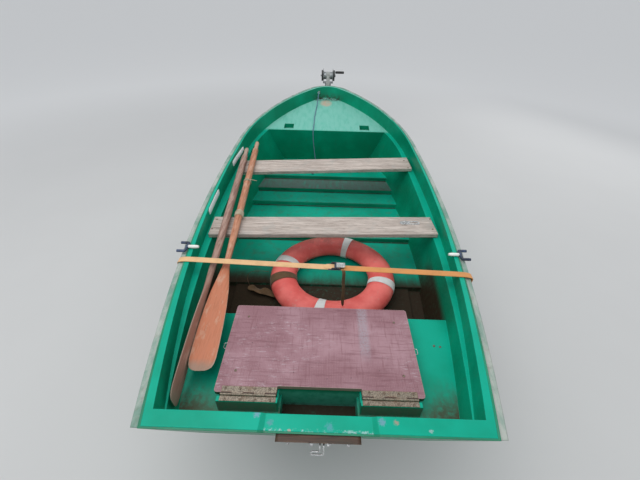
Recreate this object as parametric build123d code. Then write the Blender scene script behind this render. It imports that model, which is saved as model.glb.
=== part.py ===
from build123d import *
import math
import os

# Rowing boat with a moulded outer hull and inner liner, standing on its road trailer.
# Millimetres, X to starboard, Y to the bow, Z up from the ground.
# Boat stations are measured forward from the inner top edge of the transom,
# and boat heights from the level of the seat ledge amidships.

os.makedirs("parts", exist_ok=True)

# Boat, driving sizes
transom_depth = 62
strake_width = 28
strake_height = 34
strake_drop = 9
strake_end = 2
sheer_aft = 80
sheer_middle = 118
sheer_bow = 405
widest_station = 1372
shoulder_station = 2100
shell_wall = 6
skin_gap = 0.5
lip_width = 22
seat_gap = 0.3

# The transom leans forward towards its foot, by this much for each millimetre down
transom_rake = 0.4
inner_rake = 0.33

# Outer hull outline at five heights: height, half beam at the transom, at the widest
# station and at the shoulder, half width of the blunt bow, bow tip
hull_widths = [
    (440, 575, 738, 702, 150, 3095),
    (100, 562, 724, 678, 130, 3060),
    (-150, 530, 700, 620, 95, 2985),
    (-280, 480, 640, 520, 65, 2850),
    (-335, 420, 570, 420, 50, 2680),
]
cheek_back = 45
keel_half = 25
keel_depth = 25
keel_aft = 150
keel_fore = 2450

# Inside of the boat
ledge_flat_to = 1000
ledge_radius = 7800
bow_seat_station = 2475
bow_face_slope_to = 2545
gutter_depth = 16
# Half width of the raised floor between the gutters: station, half width
floor_panel = [(510, 500), (1100, 535), (1500, 540), (1850, 520), (2200, 490), (2540, 350)]
ledge_width = 40
wall_foot_half = 693
floor_half = 600
stern_seat_front = 545
stern_seat_height = -90
# Stepped floor, from the stern seat to the bow seat: station where it starts, height
floor_steps = [(545, -295), (950, -278), (1400, -252), (1830, -222), (2010, -196), (2190, -168)]

# Thwarts: node, middle of the aft edge, width, half length, degrees off square
thwart_thickness = 28
thwarts = [("thwart_middle", 1054, 178, 668, 2.8), ("thwart_forward", 1814, 165, 655, 5.2)]

# Stern locker
lid_half = 391
lid_aft = 117
lid_front = 538
lid_thickness = 18
lid_top = -22
lid_corner = 12
lid_notch_half = 158
lid_notch_depth = 30
riser_half = 375
riser_aft = 150
riser_front = 520
locker_half = 330
locker_aft = 182
locker_front = 485
locker_bottom = -275
hinge_pad_aft = 84
hinge_pad_front = 104
hinge_inner = 158
hinge_length = 205
hinge_station = 108.5
hinge_leaf = 2
pin_radius = 3
knuckle_radius = 4.5
sump_half = 145
sump_aft = 68
sump_depth = 70

# Transom
notch_half = 172
notch_slope = 28
notch_depth = 18
pad_half = 135
pad_height = 190
pad_thickness = 24
eye_rod = 5
eye_stand = 11

# Trailer, driving sizes
keel_height = 455
wheel_radius = 250
tyre_width = 145
track_half = 800
rim_radius = 127
stub_radius = 15
hub_gap = 0.05
axle_station = 1150
beam_size = 60
arm_reach = 120
spine_size = 70
spine_top = 370
spine_aft = 150
spine_fore = 4120
winch_post_station = 3235
jockey_station = 3780
coupling_nose = 4300

ledge_height = keel_height + keel_depth - hull_widths[-1][0]


def transom_at(height):
    """Station of the transom's outer face."""
    return (sheer_aft - height) * transom_rake - transom_depth


def transom_inside(height):
    """Station of the transom's inner face."""
    return (sheer_aft - height) * inner_rake


hull_levels = [(height, transom_at(height), *widths) for height, *widths in hull_widths]


def ledge_rise(station):
    """Height of the seat ledge, level aft and rising on an arc forward."""
    run = max(station - ledge_flat_to, 0)
    return ledge_radius - math.sqrt(ledge_radius ** 2 - run ** 2)


bow_seat_height = ledge_rise(bow_seat_station)
pad_top = sheer_aft - notch_depth - 4
eye_height_top = pad_top - 26
pad_face = transom_at(eye_height_top) - seat_gap - pad_thickness
tail_reach = eye_stand + eye_rod / 2 - pad_face
stern_y = (tail_reach - coupling_nose) / 2


def at(x, station, height):
    """Point or place given in boat measures."""
    return Vector(x, stern_y + station, ledge_height + height)


def low(x, station, height):
    """Point given by boat station and height over the ground."""
    return Vector(x, stern_y + station, height)


def block(x0, x1, s0, s1, z0, z1):
    """Box between two corners, with heights over the ground."""
    size = Box(abs(x1 - x0), abs(s1 - s0), abs(z1 - z0))
    return Pos((x0 + x1) / 2, stern_y + (s0 + s1) / 2, (z0 + z1) / 2) * size


def boat_block(x0, x1, s0, s1, z0, z1):
    return block(x0, x1, s0, s1, ledge_height + z0, ledge_height + z1)


def rod(start, end, radius):
    """Round bar between two points."""
    run = Vector(*end) - Vector(*start)
    plane = Plane(origin=start, z_dir=run)
    return extrude(plane * Circle(radius), run.length)


def tube_x(x0, x1, station, height, radius):
    return rod(low(x0, station, height), low(x1, station, height), radius)


def side_profile(points, half=900):
    """Solid across the whole beam from a closed side view of stations and heights."""
    plane = Plane(origin=(0, stern_y, ledge_height), x_dir=(0, 1, 0), z_dir=(1, 0, 0))
    face = plane * make_face(points)
    return extrude(face, half, both=True)


def shrink(row, side, aft=None):
    """The same outline set in by a wall thickness."""
    height, aft_end, transom, widest, shoulder, cheek, tip = row
    step = side if aft is None else aft
    return (height, aft_end + step, transom - side, widest - side, shoulder - side,
            max(cheek - side * 0.7, 12), tip - side)


def outline(row):
    """Plan outline of the hull at one height: transom line, side arcs and a blunt bow."""
    height, aft_end, transom, widest, shoulder, cheek, tip = row
    corner = (transom, aft_end)
    side = ThreePointArc(corner, (widest, widest_station), (shoulder, shoulder_station))
    fore = TangentArc(side @ 1, (cheek, tip - cheek_back), tangent=side % 1)
    nose = ThreePointArc((cheek, tip - cheek_back), (0, tip), (-cheek, tip - cheek_back))
    other_fore = mirror(fore, about=Plane.YZ)
    other_side = mirror(side, about=Plane.YZ)
    stern = Line((-transom, aft_end), corner)
    face = make_face([side, fore, nose, other_fore, other_side, stern])
    return Pos(0, stern_y, ledge_height + height) * face


def stack(rows):
    """Solid lofted upwards through plan outlines."""
    return loft([outline(row) for row in sorted(rows)])


def sheer_band(top, bottom):
    """Band across the beam between two curves parallel to the sheer."""
    upper = ThreePointArc((-120, sheer_aft + top), (1500, sheer_middle + top), (3180, sheer_bow + top))
    lower = ThreePointArc((-120, sheer_aft + bottom), (1500, sheer_middle + bottom), (3180, sheer_bow + bottom))
    return side_profile([upper, Line(upper @ 1, lower @ 1), lower, Line(lower @ 0, upper @ 0)])


def save(node, shape):
    solids = shape.solids()
    export_step(solids[0] if len(solids) == 1 else Compound(children=list(solids)), f"parts/{node}.step")
    print(node, len(solids), round(sum(s.volume for s in solids) / 1e6, 3))


# Hull and liner
outer_form = stack(hull_levels)
inner_rows = [shrink(row, shell_wall + skin_gap) for row in hull_levels]
inner_rows[-1] = (inner_rows[-1][0] + shell_wall + skin_gap,) + inner_rows[-1][1:]
inner_form = stack(inner_rows)
below_sheer = sheer_band(0, -900)
hull_floor = hull_levels[-1][0]
notch_plan = Polyline(
    (-notch_half, sheer_aft - notch_depth), (notch_half, sheer_aft - notch_depth),
    (notch_half + notch_slope, sheer_aft + 6), (notch_half + notch_slope, 300),
    (-notch_half - notch_slope, 300), (-notch_half - notch_slope, sheer_aft + 6), close=True)
notch_plane = Plane(origin=at(0, -100, 0), x_dir=(-1, 0, 0), z_dir=(0, 1, 0))
transom_notch = extrude(notch_plane * make_face(notch_plan), 140)
hull_shell = (outer_form & below_sheer) - inner_form - transom_notch
save("hull_shell", hull_shell)
save("keel", boat_block(-keel_half, keel_half, keel_aft, keel_fore, hull_floor - keel_depth, hull_floor))

lip_row = shrink(hull_levels[0], lip_width)
wall_rows = [
    (lip_row[0], transom_inside(lip_row[0]), *lip_row[2:]),
    (100, transom_inside(100), *shrink(hull_levels[1], lip_width)[2:]),
    (-100, transom_inside(-100), 520, wall_foot_half, wall_foot_half - 48, 110, 3010),
]
beyond_bow = 3300
over_sheer = 600
ledge_arc = ThreePointArc((ledge_flat_to, 0), (2200, ledge_rise(2200)), (beyond_bow, ledge_rise(beyond_bow)))
upper_side = side_profile([
    Line((0, 0), (ledge_flat_to, 0)),
    ledge_arc,
    Line(ledge_arc @ 1, (beyond_bow, over_sheer)),
    Line((beyond_bow, over_sheer), (0, over_sheer)),
    Line((0, over_sheer), (0, 0)),
])
upper_space = stack(wall_rows) & upper_side
inside_rows = [
    (330, transom_inside(330), 540, 690, 645, 110, 3010),
    (0, transom_inside(0), 526, wall_foot_half - ledge_width, wall_foot_half - 48 - ledge_width, 100, 2960),
    (-320, transom_inside(-320), 480, floor_half, floor_half - 90, 80, 2900),
]
floor_points = []
for index, (station, height) in enumerate(floor_steps):
    end = floor_steps[index + 1][0] if index + 1 < len(floor_steps) else bow_face_slope_to
    floor_points += [(station, height), (end, height)]
well_points = [(2, stern_seat_height), (stern_seat_front, stern_seat_height)] + floor_points
well_points += [(bow_seat_station, bow_seat_height), (bow_seat_station, 320), (2, 320)]
well_side = side_profile(Polyline(*well_points, close=True))
lower_space = stack(inside_rows) & well_side
panel_edge = [(half, stern_y + station) for station, half in floor_panel]
panel_edge += [(-half, stern_y + station) for station, half in reversed(floor_panel)]
floor_level = ledge_height + floor_steps[0][1]
panel = Pos(0, 0, floor_level - 100) * extrude(make_face(Polyline(*panel_edge, close=True)), 400)
gutter_top = [(station, height + 1) for station, height in floor_points]
gutter_foot = [(station, height - gutter_depth) for station, height in reversed(floor_points)]
gutter_side = side_profile(Polyline(*gutter_top, *gutter_foot, close=True))
gutters = (stack(inside_rows) & gutter_side) - panel
liner = (inner_form & below_sheer) - upper_space - lower_space - gutters
riser = boat_block(-riser_half, riser_half, riser_aft, riser_front, stern_seat_height - 5, lid_top - lid_thickness - seat_gap)
locker_hole = boat_block(-locker_half, locker_half, locker_aft, locker_front, locker_bottom, 0)
liner = liner + riser
for side in (-1, 1):
    pad_x = (side * (hinge_inner - 6), side * riser_half)
    liner += boat_block(*pad_x, hinge_pad_aft, hinge_pad_front, stern_seat_height - 5, lid_top - hinge_leaf)
    liner += boat_block(*pad_x, hinge_pad_front, riser_aft, stern_seat_height - 5, lid_top - lid_thickness - 8)
liner -= locker_hole
liner -= boat_block(-sump_half, sump_half, sump_aft, riser_aft, stern_seat_height - sump_depth, stern_seat_height + 1)
for side in (-1, 1):
    recess_x = (side * 385, side * 300)
    liner -= boat_block(*recess_x, 2500, 2580, ledge_rise(2500) - 22, ledge_rise(2580) + 1)
liner -= transom_notch
save("inner_liner", liner)


def strake():
    """Rub strake round the gunwale, from one transom corner to the other."""
    wide = stack([shrink(row, -strake_width, strake_end) for row in hull_levels])
    tight = stack([shrink(row, -seat_gap) for row in hull_levels])
    band = sheer_band(-strake_drop, -strake_drop - strake_height)
    return (wide & band) - tight


rub_strake = strake()
save("rub_strake", rub_strake)


def thwart_place(aft_edge, width, half, skew):
    """Plane of a board's underside, laid on the rising ledges as its corners touch them."""
    along = (math.cos(math.radians(skew)), math.sin(math.radians(skew)))
    middle = aft_edge + width / 2
    corners = [(u, v, ledge_rise(middle + u * along[1] + v * along[0]))
               for u in (-half, half) for v in (-width / 2, width / 2)]
    slope_along = sum(math.copysign(rise, u) for u, v, rise in corners) / (4 * half)
    slope_across = sum(math.copysign(rise, v) for u, v, rise in corners) / (2 * width)
    lift = max(rise - slope_along * u - slope_across * v for u, v, rise in corners)
    x_dir = Vector(along[0], along[1], slope_along)
    z_dir = x_dir.cross(Vector(-along[1], along[0], slope_across))
    return Plane(origin=at(0, middle, lift + seat_gap), x_dir=x_dir, z_dir=z_dir)


# Thwarts on the ledges
for node, aft_edge, width, half, skew in thwarts:
    board = Box(2 * half, width, thwart_thickness, align=(Align.CENTER, Align.CENTER, Align.MIN))
    board = fillet(board.edges().filter_by(Axis.X), 5)
    save(node, thwart_place(aft_edge, width, half, skew) * board)

# Bare steel latch plate screwed on the middle thwart
fitting = {"x": 525, "across": 22, "length": 122, "width": 34, "thickness": 2.5, "loop": 22}
plate = extrude(SlotOverall(fitting["length"], fitting["width"]), fitting["thickness"])
plate -= extrude(Pos(26, 0) * SlotOverall(52, 14), fitting["thickness"])
loop = Pos(-30, 0, fitting["thickness"]) * Rot(90, 0, 0) * Torus(fitting["loop"] / 2, 3)
fitting_shift = Pos(fitting["x"], fitting["across"], thwart_thickness + seat_gap)
half_space = Pos(0, 0, 100) * Box(400, 400, 200)
save("thwart_fitting", thwart_place(*thwarts[0][1:]) * fitting_shift * (plate + (loop & half_space)))

# Stern locker lid, notched aft, on two strip hinges
lid_plan = Rectangle(2 * lid_half, lid_front - lid_aft)
lid_plan = fillet(lid_plan.vertices(), lid_corner)
lid_plan -= Pos(0, (lid_aft - lid_front) / 2) * Rectangle(2 * lid_notch_half, 2 * lid_notch_depth)
lid_bottom = lid_top - lid_thickness
lid_place = Plane(origin=at(0, (lid_aft + lid_front) / 2, lid_bottom))
save("locker_lid", lid_place * extrude(lid_plan, lid_thickness))

fixed_leaves = []
moving_leaves = []
pins = []
knuckle = hinge_length / 5
hinge_z = lid_top + knuckle_radius - hinge_leaf
for side in (-1, 1):
    x_from = side * hinge_inner
    x_to = side * (hinge_inner + hinge_length)
    fixed_leaf = boat_block(x_from, x_to, hinge_pad_aft + 1, hinge_pad_front, lid_top - hinge_leaf, lid_top)
    moving_leaf = boat_block(x_from, x_to, lid_aft + 1, lid_aft + 24, lid_top, lid_top + hinge_leaf)
    for step in range(5):
        start = x_from + side * (step * knuckle + 0.2)
        end = x_from + side * ((step + 1) * knuckle - 0.2)
        barrel = rod(at(start, hinge_station, hinge_z), at(end, hinge_station, hinge_z), knuckle_radius)
        if step % 2 == 0:
            arm = boat_block(start, end, hinge_pad_front - 1, hinge_station, lid_top - hinge_leaf, lid_top)
            fixed_leaf += barrel + arm
        else:
            arm = boat_block(start, end, hinge_station, lid_aft + 2, lid_top, lid_top + hinge_leaf)
            moving_leaf += barrel + arm
    bore = rod(at(x_from - side, hinge_station, hinge_z), at(x_to + side, hinge_station, hinge_z), pin_radius + hub_gap)
    fixed_leaves.append(fixed_leaf - bore)
    moving_leaves.append(moving_leaf - bore)
    pins.append(rod(at(x_from, hinge_station, hinge_z), at(x_to, hinge_station, hinge_z), pin_radius))
save("hinge_leaves_fixed", Compound(children=[s for leaf in fixed_leaves for s in leaf.solids()]))
save("hinge_leaves_moving", Compound(children=[s for leaf in moving_leaves for s in leaf.solids()]))
save("hinge_pins", Compound(children=pins))

# Lifting rings, each a bent rod held at the edge of the lid
ring_station = 322
ring_rod = 3
ring_half = 13
ring_out = 12
lid_rings = []
for side in (-1, 1):
    ring_x = side * (lid_half + seat_gap)
    ring_z = lid_top - lid_thickness / 2
    ring_line = FilletPolyline(
        at(ring_x, ring_station - ring_half, ring_z), at(ring_x + side * ring_out, ring_station - ring_half, ring_z),
        at(ring_x + side * ring_out, ring_station + ring_half, ring_z), at(ring_x, ring_station + ring_half, ring_z),
        radius=5)
    lid_rings.append(sweep(Plane(origin=ring_line @ 0, z_dir=ring_line % 0) * Circle(ring_rod / 2), ring_line))
save("locker_rings", Compound(children=[s for item in lid_rings for s in item.solids()]))

# Motor pad bedded on the raked transom and the bent towing eye
pad_plane = Plane(origin=at(0, 0, pad_top - pad_height / 2), x_dir=(1, 0, 0), z_dir=(0, -1, 0))
pad_plan = extrude(pad_plane * RectangleRounded(2 * pad_half, pad_height, 14), 200)
pad_outer = stack([shrink(row, 0, -seat_gap - pad_thickness) for row in hull_levels])
pad_inner = stack([shrink(row, 0, -seat_gap) for row in hull_levels])
save("motor_pad", (pad_outer & pad_plan) - pad_inner)
eye_y = -tail_reach + eye_rod / 2
eye_start = eye_y + eye_stand + 6
eye_points = [
    at(6, eye_start, eye_height_top),
    at(6, eye_y, eye_height_top),
    at(6, eye_y, pad_top - 60),
    at(-22, eye_y, pad_top - 60),
    at(-22, eye_y, pad_top - 84),
    at(18, eye_y, pad_top - 84),
    at(18, eye_y, eye_height_top),
    at(18, eye_start, eye_height_top),
]
eye_path = FilletPolyline(*eye_points, radius=5.5)
eye = sweep(Plane(origin=eye_path @ 0, z_dir=eye_path % 0) * Circle(eye_rod / 2), eye_path)
save("transom_eye", eye - stack([shrink(row, 0, -seat_gap - pad_thickness - 0.05) for row in hull_levels]))

# Oars laid over the thwarts on the port side, blades aft
# node, handle tip x, station, height, blade tip x, station, height, blade turn
oars = [
    ("oar_inner", -573, 2180, 124.8, -461, 190, -6.4, 0),
    ("oar_outer", -638, 2065, 115.5, -517, 62, -10.2, 90),
]
oar_grip = (130, 16)
oar_loom = 22
blade_length = 620
blade_width = 108
blade_thickness = 11
blade_tip_radius = 46


def oar(handle, tip, turn):
    """Wooden oar from a handle grip, through a round loom, to a spoon blade."""
    run = tip - handle
    length = run.length
    place = Plane(origin=handle, x_dir=Vector(1, 0, 0), z_dir=run)
    grip = extrude(Circle(oar_grip[1]), oar_grip[0])
    loom = loft([
        Pos(0, 0, oar_grip[0]) * Circle(oar_loom),
        Pos(0, 0, length * 0.55) * Circle(oar_loom - 1),
        Pos(0, 0, length - blade_length * 0.86) * Circle(oar_loom - 7),
    ])
    blade = loft([
        Pos(0, 0, length - blade_length) * RectangleRounded(30, 28, 12),
        Pos(0, 0, length - blade_length * 0.62) * RectangleRounded(86, 16, 7),
        Pos(0, 0, length - blade_length * 0.25) * RectangleRounded(blade_width, blade_thickness, 5),
        Pos(0, 0, length) * RectangleRounded(blade_width - 8, blade_thickness - 3, 3.5),
    ])
    tip_trim = fillet(Box(blade_width + 12, 60, blade_length).edges().filter_by(Axis.Y), blade_tip_radius)
    blade &= Pos(0, 0, length - blade_length / 2) * tip_trim
    return place * Rot(0, 0, turn) * (grip + loom + blade)


for node, hx, hs, hz, tx, ts, tz, turn in oars:
    save(node, oar(at(hx, hs, hz), at(tx, ts, tz), turn))

# Lifebuoy lying on the floor aft of the middle thwart
buoy_outer = 372
buoy_ring = (78, 54)
buoy_x = 60
buoy_station = 972
buoy_z = floor_steps[1][1] + buoy_ring[1] + seat_gap
buoy_middle = buoy_outer - buoy_ring[0]
ring = revolve(Plane.XZ * Pos(buoy_middle, 0) * Ellipse(*buoy_ring), Axis.Z)
save("lifebuoy", Pos(at(buoy_x, buoy_station, buoy_z)) * ring)
buoy_bands = []
for turn in (61, 162, 261, 342):
    wide_ring = revolve(Plane.XZ * Pos(buoy_middle, 0) * Ellipse(buoy_ring[0] + 1.8, buoy_ring[1] + 1.8), Axis.Z)
    hollow = revolve(Plane.XZ * Pos(buoy_middle, 0) * Ellipse(buoy_ring[0] + seat_gap, buoy_ring[1] + seat_gap), Axis.Z)
    slice_box = Rot(0, 0, turn) * Pos(buoy_middle, 0, 1.9) * Box(200, 48, 2 * buoy_ring[1])
    buoy_bands += ((wide_ring & slice_box) - hollow).solids()
save("lifebuoy_bands", Pos(at(buoy_x, buoy_station, buoy_z)) * Compound(children=buoy_bands))

# Tie-down strap over the gunwales and down to the trailer beam
strap_width = 38
strap_thickness = 2.5
strap_station = 735

# Trailer frame
spine = block(-spine_size / 2, spine_size / 2, spine_aft, spine_fore, spine_top - spine_size, spine_top)
bore = block(-spine_size / 2 + 4, spine_size / 2 - 4, spine_aft - 1, spine_fore + 1,
             spine_top - spine_size + 4, spine_top - 4)
save("spine_beam", fillet(spine.edges().filter_by(Axis.Y), 8) - bore)

# Cross members under the spine: node, station, half length
cross_size = 50
cross_members = [("cross_member_aft", strap_station, 640), ("cross_member_fore", 1780, 400)]
cross_top = spine_top - spine_size
for node, station, half in cross_members:
    bar = block(-half, half, station - cross_size / 2, station + cross_size / 2, cross_top - cross_size, cross_top)
    inside = block(-half - 1, half + 1, station - cross_size / 2 + 4, station + cross_size / 2 - 4,
                   cross_top - cross_size + 4, cross_top - 4)
    save(node, fillet(bar.edges().filter_by(Axis.X), 6) - inside)

# Axle beam with trailing arms and stub axles
beam_half = 640
beam_station = axle_station + arm_reach
beam_z = cross_top - beam_size / 2
beam = block(-beam_half, beam_half, beam_station - beam_size / 2, beam_station + beam_size / 2,
             cross_top - beam_size, cross_top)
save("axle_beam", fillet(beam.edges().filter_by(Axis.X), 6))
arm_thickness = 22
arms = []
for side in (-1, 1):
    inner_x = side * beam_half
    outer_x = side * (beam_half + arm_thickness)
    eye = tube_x(inner_x, outer_x, beam_station, beam_z, 28)
    end = tube_x(inner_x, outer_x, axle_station, wheel_radius, 26)
    web = block(inner_x, outer_x, axle_station, beam_station, wheel_radius - 18, beam_z + 18)
    stub = tube_x(outer_x, side * (track_half + 26), axle_station, wheel_radius, stub_radius)
    arms.append(eye + end + web + stub)
save("axle_arms", Compound(children=arms))

# Wheels, a pressed rim on its hub and a tyre on each side
rim_slots = 8
rim_slot_circle = 93
nut_circle = 49
nut_across = 19
nut_height = 12
for name, side in (("port", -1), ("starboard", 1)):
    centre = side * track_half
    plane = Plane(origin=low(centre, axle_station, wheel_radius), x_dir=(0, 1, 0), z_dir=(side, 0, 0))
    rim_profile = make_face(Polyline(
        (rim_radius + 11, -52), (rim_radius + 11, -47), (rim_radius, -44), (rim_radius, -26), (rim_radius - 22, -18),
        (rim_radius - 22, 12), (rim_radius, 26), (rim_radius, 44), (rim_radius + 11, 47), (rim_radius + 11, 52),
        (rim_radius - 4, 48), (rim_radius - 5, 22), (rim_radius - 26, 15), (rim_radius - 44, 26), (68, 22),
        (61, 10), (38, 10), (38, 3), (64, 3), (72, 15), (rim_radius - 44, 19), (rim_radius - 27, 8),
        (rim_radius - 27, -21), (rim_radius - 5, -30), (rim_radius - 4, -48), close=True))
    rim = revolve(Plane.XZ * rim_profile, Axis.Z)
    for turn in range(rim_slots):
        slot = extrude(SlotOverall(34, 12), 60, both=True)
        rim -= Rot(0, 0, turn * 360 / rim_slots) * Pos(rim_slot_circle, 0, 0) * Rot(0, 0, 90) * slot
    hub_profile = make_face(Polyline(
        (stub_radius + hub_gap, -58), (34, -58), (34, -20), (58, -18), (58, 3 - seat_gap), (36, 3 - seat_gap),
        (36, 34), (stub_radius + hub_gap, 34), close=True))
    hub = revolve(Plane.XZ * hub_profile, Axis.Z)
    cap = Pos(0, 0, 34) * Cylinder(33, 26, align=(Align.CENTER, Align.CENTER, Align.MIN))
    cap -= Pos(0, 0, 33) * Cylinder(27, 20, align=(Align.CENTER, Align.CENTER, Align.MIN))
    save(f"wheel_rim_{name}", plane * rim)
    hub += fillet(cap.faces().sort_by(Axis.Z)[-1].edges(), 5)
    nut = extrude(RegularPolygon(nut_across / math.sqrt(3), 6), nut_height)
    nuts = [Rot(0, 0, turn) * Pos(nut_circle, 0, 10 + seat_gap) * nut for turn in (45, 135, 225, 315)]
    save(f"wheel_hub_{name}", plane * Compound(children=[hub.solid(), *nuts]))
    tyre_profile = make_face([
        Line((rim_radius + 12, -46), (rim_radius + 0.5, -43)),
        Line((rim_radius + 0.5, -43), (rim_radius + 0.5, -32)),
        Line((rim_radius + 0.5, -32), (rim_radius + 24, -46)),
        ThreePointArc((rim_radius + 24, -46), (rim_radius + 62, -60), (wheel_radius - 24, -54)),
        ThreePointArc((wheel_radius - 24, -54), (wheel_radius, 0), (wheel_radius - 24, 54)),
        ThreePointArc((wheel_radius - 24, 54), (rim_radius + 62, 60), (rim_radius + 24, 46)),
        Line((rim_radius + 24, 46), (rim_radius + 0.5, 32)),
        Line((rim_radius + 0.5, 32), (rim_radius + 0.5, 43)),
        Line((rim_radius + 0.5, 43), (rim_radius + 12, 46)),
        ThreePointArc((rim_radius + 12, 46), (rim_radius + 57, tyre_width / 2), (wheel_radius - 16, 56)),
        ThreePointArc((wheel_radius - 16, 56), (wheel_radius, 0), (wheel_radius - 16, -56)),
        ThreePointArc((wheel_radius - 16, -56), (rim_radius + 57, -tyre_width / 2), (rim_radius + 12, -46)),
    ])
    save(f"tyre_{name}", plane * revolve(Plane.XZ * tyre_profile, Axis.Z))


# Mudguards over the wheels, each on a bracket from the axle beam
mud_radius = 292
mud_half = 90
mud_wall = 4
mud_lip = 24
bracket_plate = 6
guards = {}
brackets = []
for name, side in (("port", -1), ("starboard", 1)):
    centre = side * track_half
    plane = Plane(origin=low(centre, axle_station, wheel_radius), x_dir=(0, 1, 0), z_dir=(side, 0, 0))
    guard_profile = make_face(Polyline(
        (mud_radius - mud_lip, -mud_half), (mud_radius + mud_wall, -mud_half), (mud_radius + mud_wall, mud_half),
        (mud_radius - mud_lip, mud_half), (mud_radius - mud_lip, mud_half - mud_wall), (mud_radius, mud_half - mud_wall),
        (mud_radius, mud_wall - mud_half), (mud_radius - mud_lip, mud_wall - mud_half), close=True))
    guard = plane * revolve(Plane.XZ * guard_profile, Axis.Z)
    guard -= block(centre - 200, centre + 200, axle_station - 400, axle_station + 400, -100, wheel_radius + 62)
    save(f"mudguard_{name}", guard)
    inner_face = track_half - mud_half
    low_bar = block(side * (beam_half - 60), side * inner_face, beam_station - 25, beam_station + 25,
                    cross_top, cross_top + bracket_plate)
    plate_plane = Plane(origin=low(side * (inner_face - bracket_plate), 0, 0), x_dir=(0, 1, 0), z_dir=(side, 0, 0))
    corners = [(beam_station - 30, cross_top), (beam_station + 30, cross_top),
               (beam_station + 80, wheel_radius + 200), (axle_station, wheel_radius + mud_radius - 4),
               (axle_station - 150, wheel_radius + 232)]
    if side > 0:
        plate = extrude(plate_plane * make_face(Polyline(*corners, close=True)), bracket_plate)
    else:
        plate_plane = Plane(origin=low(-inner_face, 0, 0), x_dir=(0, 1, 0), z_dir=(1, 0, 0))
        plate = extrude(plate_plane * make_face(Polyline(*corners, close=True)), bracket_plate)
    brackets.append(low_bar + plate)
save("mudguard_brackets", Compound(children=[s for item in brackets for s in item.solids()]))

# Keel rollers on the spine
roller_stations = [330, 1250, 2250]
roller_waist = 30
roller_end = 43
roller_half = 52
roller_pin = 8
roller_axis = keel_height - seat_gap - roller_waist
rollers = []
roller_frames = []
roller_pins = []
for station in roller_stations:
    profile = make_face([
        Line((roller_pin + 0.1, -roller_half), (roller_end, -roller_half)),
        Line((roller_end, -roller_half), (roller_end, -roller_half + 10)),
        Line((roller_end, -roller_half + 10), (roller_waist, -keel_half - 3)),
        Line((roller_waist, -keel_half - 3), (roller_waist, keel_half + 3)),
        Line((roller_waist, keel_half + 3), (roller_end, roller_half - 10)),
        Line((roller_end, roller_half - 10), (roller_end, roller_half)),
        Line((roller_end, roller_half), (roller_pin + 0.1, roller_half)),
        Line((roller_pin + 0.1, roller_half), (roller_pin + 0.1, -roller_half)),
    ])
    plane = Plane(origin=low(0, station, roller_axis), x_dir=(0, 1, 0), z_dir=(1, 0, 0))
    rollers.append(plane * revolve(Plane.XZ * profile, Axis.Z))
    frame = block(-roller_half - 8, roller_half + 8, station - 35, station + 35, spine_top, spine_top + 4)
    for side in (-1, 1):
        frame += block(side * (roller_half + 2), side * (roller_half + 8), station - 25, station + 25, spine_top, roller_axis + 14)
    frame -= tube_x(-roller_half - 20, roller_half + 20, station, roller_axis, roller_pin + hub_gap)
    roller_frames.append(frame)
    roller_pins.append(tube_x(-roller_half - 14, roller_half + 14, station, roller_axis, roller_pin))
save("keel_rollers", Compound(children=[s for item in rollers for s in item.solids()]))
save("roller_brackets", Compound(children=[s for item in roller_frames for s in item.solids()]))
save("roller_pins", Compound(children=roller_pins))

# Side bunks under the flat of the bottom, on posts from the cross members
bunk_x = 350
bunk_size = (80, 40)
bunk_aft = 560
bunk_fore = 1900
hull_bottom = ledge_height + hull_levels[-1][0]
bunks = []
posts = []
for side in (-1, 1):
    centre = side * bunk_x
    bunk = block(centre - bunk_size[0] / 2, centre + bunk_size[0] / 2, bunk_aft, bunk_fore,
                 hull_bottom - seat_gap - bunk_size[1], hull_bottom - seat_gap)
    bunks.append(fillet(bunk.edges().filter_by(Axis.Y), 8))
    for node, station, half in cross_members:
        post = block(centre - 30, centre + 30, station + cross_size / 2, station + cross_size / 2 + 6,
                     cross_top - cross_size, hull_bottom - seat_gap - bunk_size[1])
        post += block(centre - 30, centre + 30, station + cross_size / 2, station + cross_size / 2 + 50,
                      hull_bottom - seat_gap - bunk_size[1] - 6, hull_bottom - seat_gap - bunk_size[1])
        posts.append(post)
save("side_bunks", Compound(children=bunks))
save("bunk_posts", Compound(children=[s for item in posts for s in item.solids()]))

# Winch post at the bow with its stop, winch and strap to the bow eye
post_half = 30
post_top = 1196
stop_height = 40
stop_size = (110, 84)
eye_height = 205
post = block(-post_half, post_half, winch_post_station - post_half, winch_post_station + post_half, spine_top + 6, post_top)
post = fillet(post.edges().filter_by(Axis.Z), 8)
foot = block(-52, 52, winch_post_station - 70, winch_post_station + 70, spine_top, spine_top + 6)
save("winch_post", post + foot)
close_hull = stack([shrink(row, -0.4) for row in hull_levels])
stop = boat_block(-stop_size[0] / 2, stop_size[0] / 2, 3000, 3122, stop_height - stop_size[1] / 2,
                  stop_height + stop_size[1] / 2)
save("bow_stop", fillet(stop.edges().filter_by(Axis.Y), 12) - close_hull)
arm = boat_block(-22, 22, 3122, winch_post_station - post_half, stop_height - 22, stop_height + 22)
arm += boat_block(-45, 45, 3122, 3128, stop_height - 34, stop_height + 34)
save("bow_stop_arm", arm)

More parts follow.
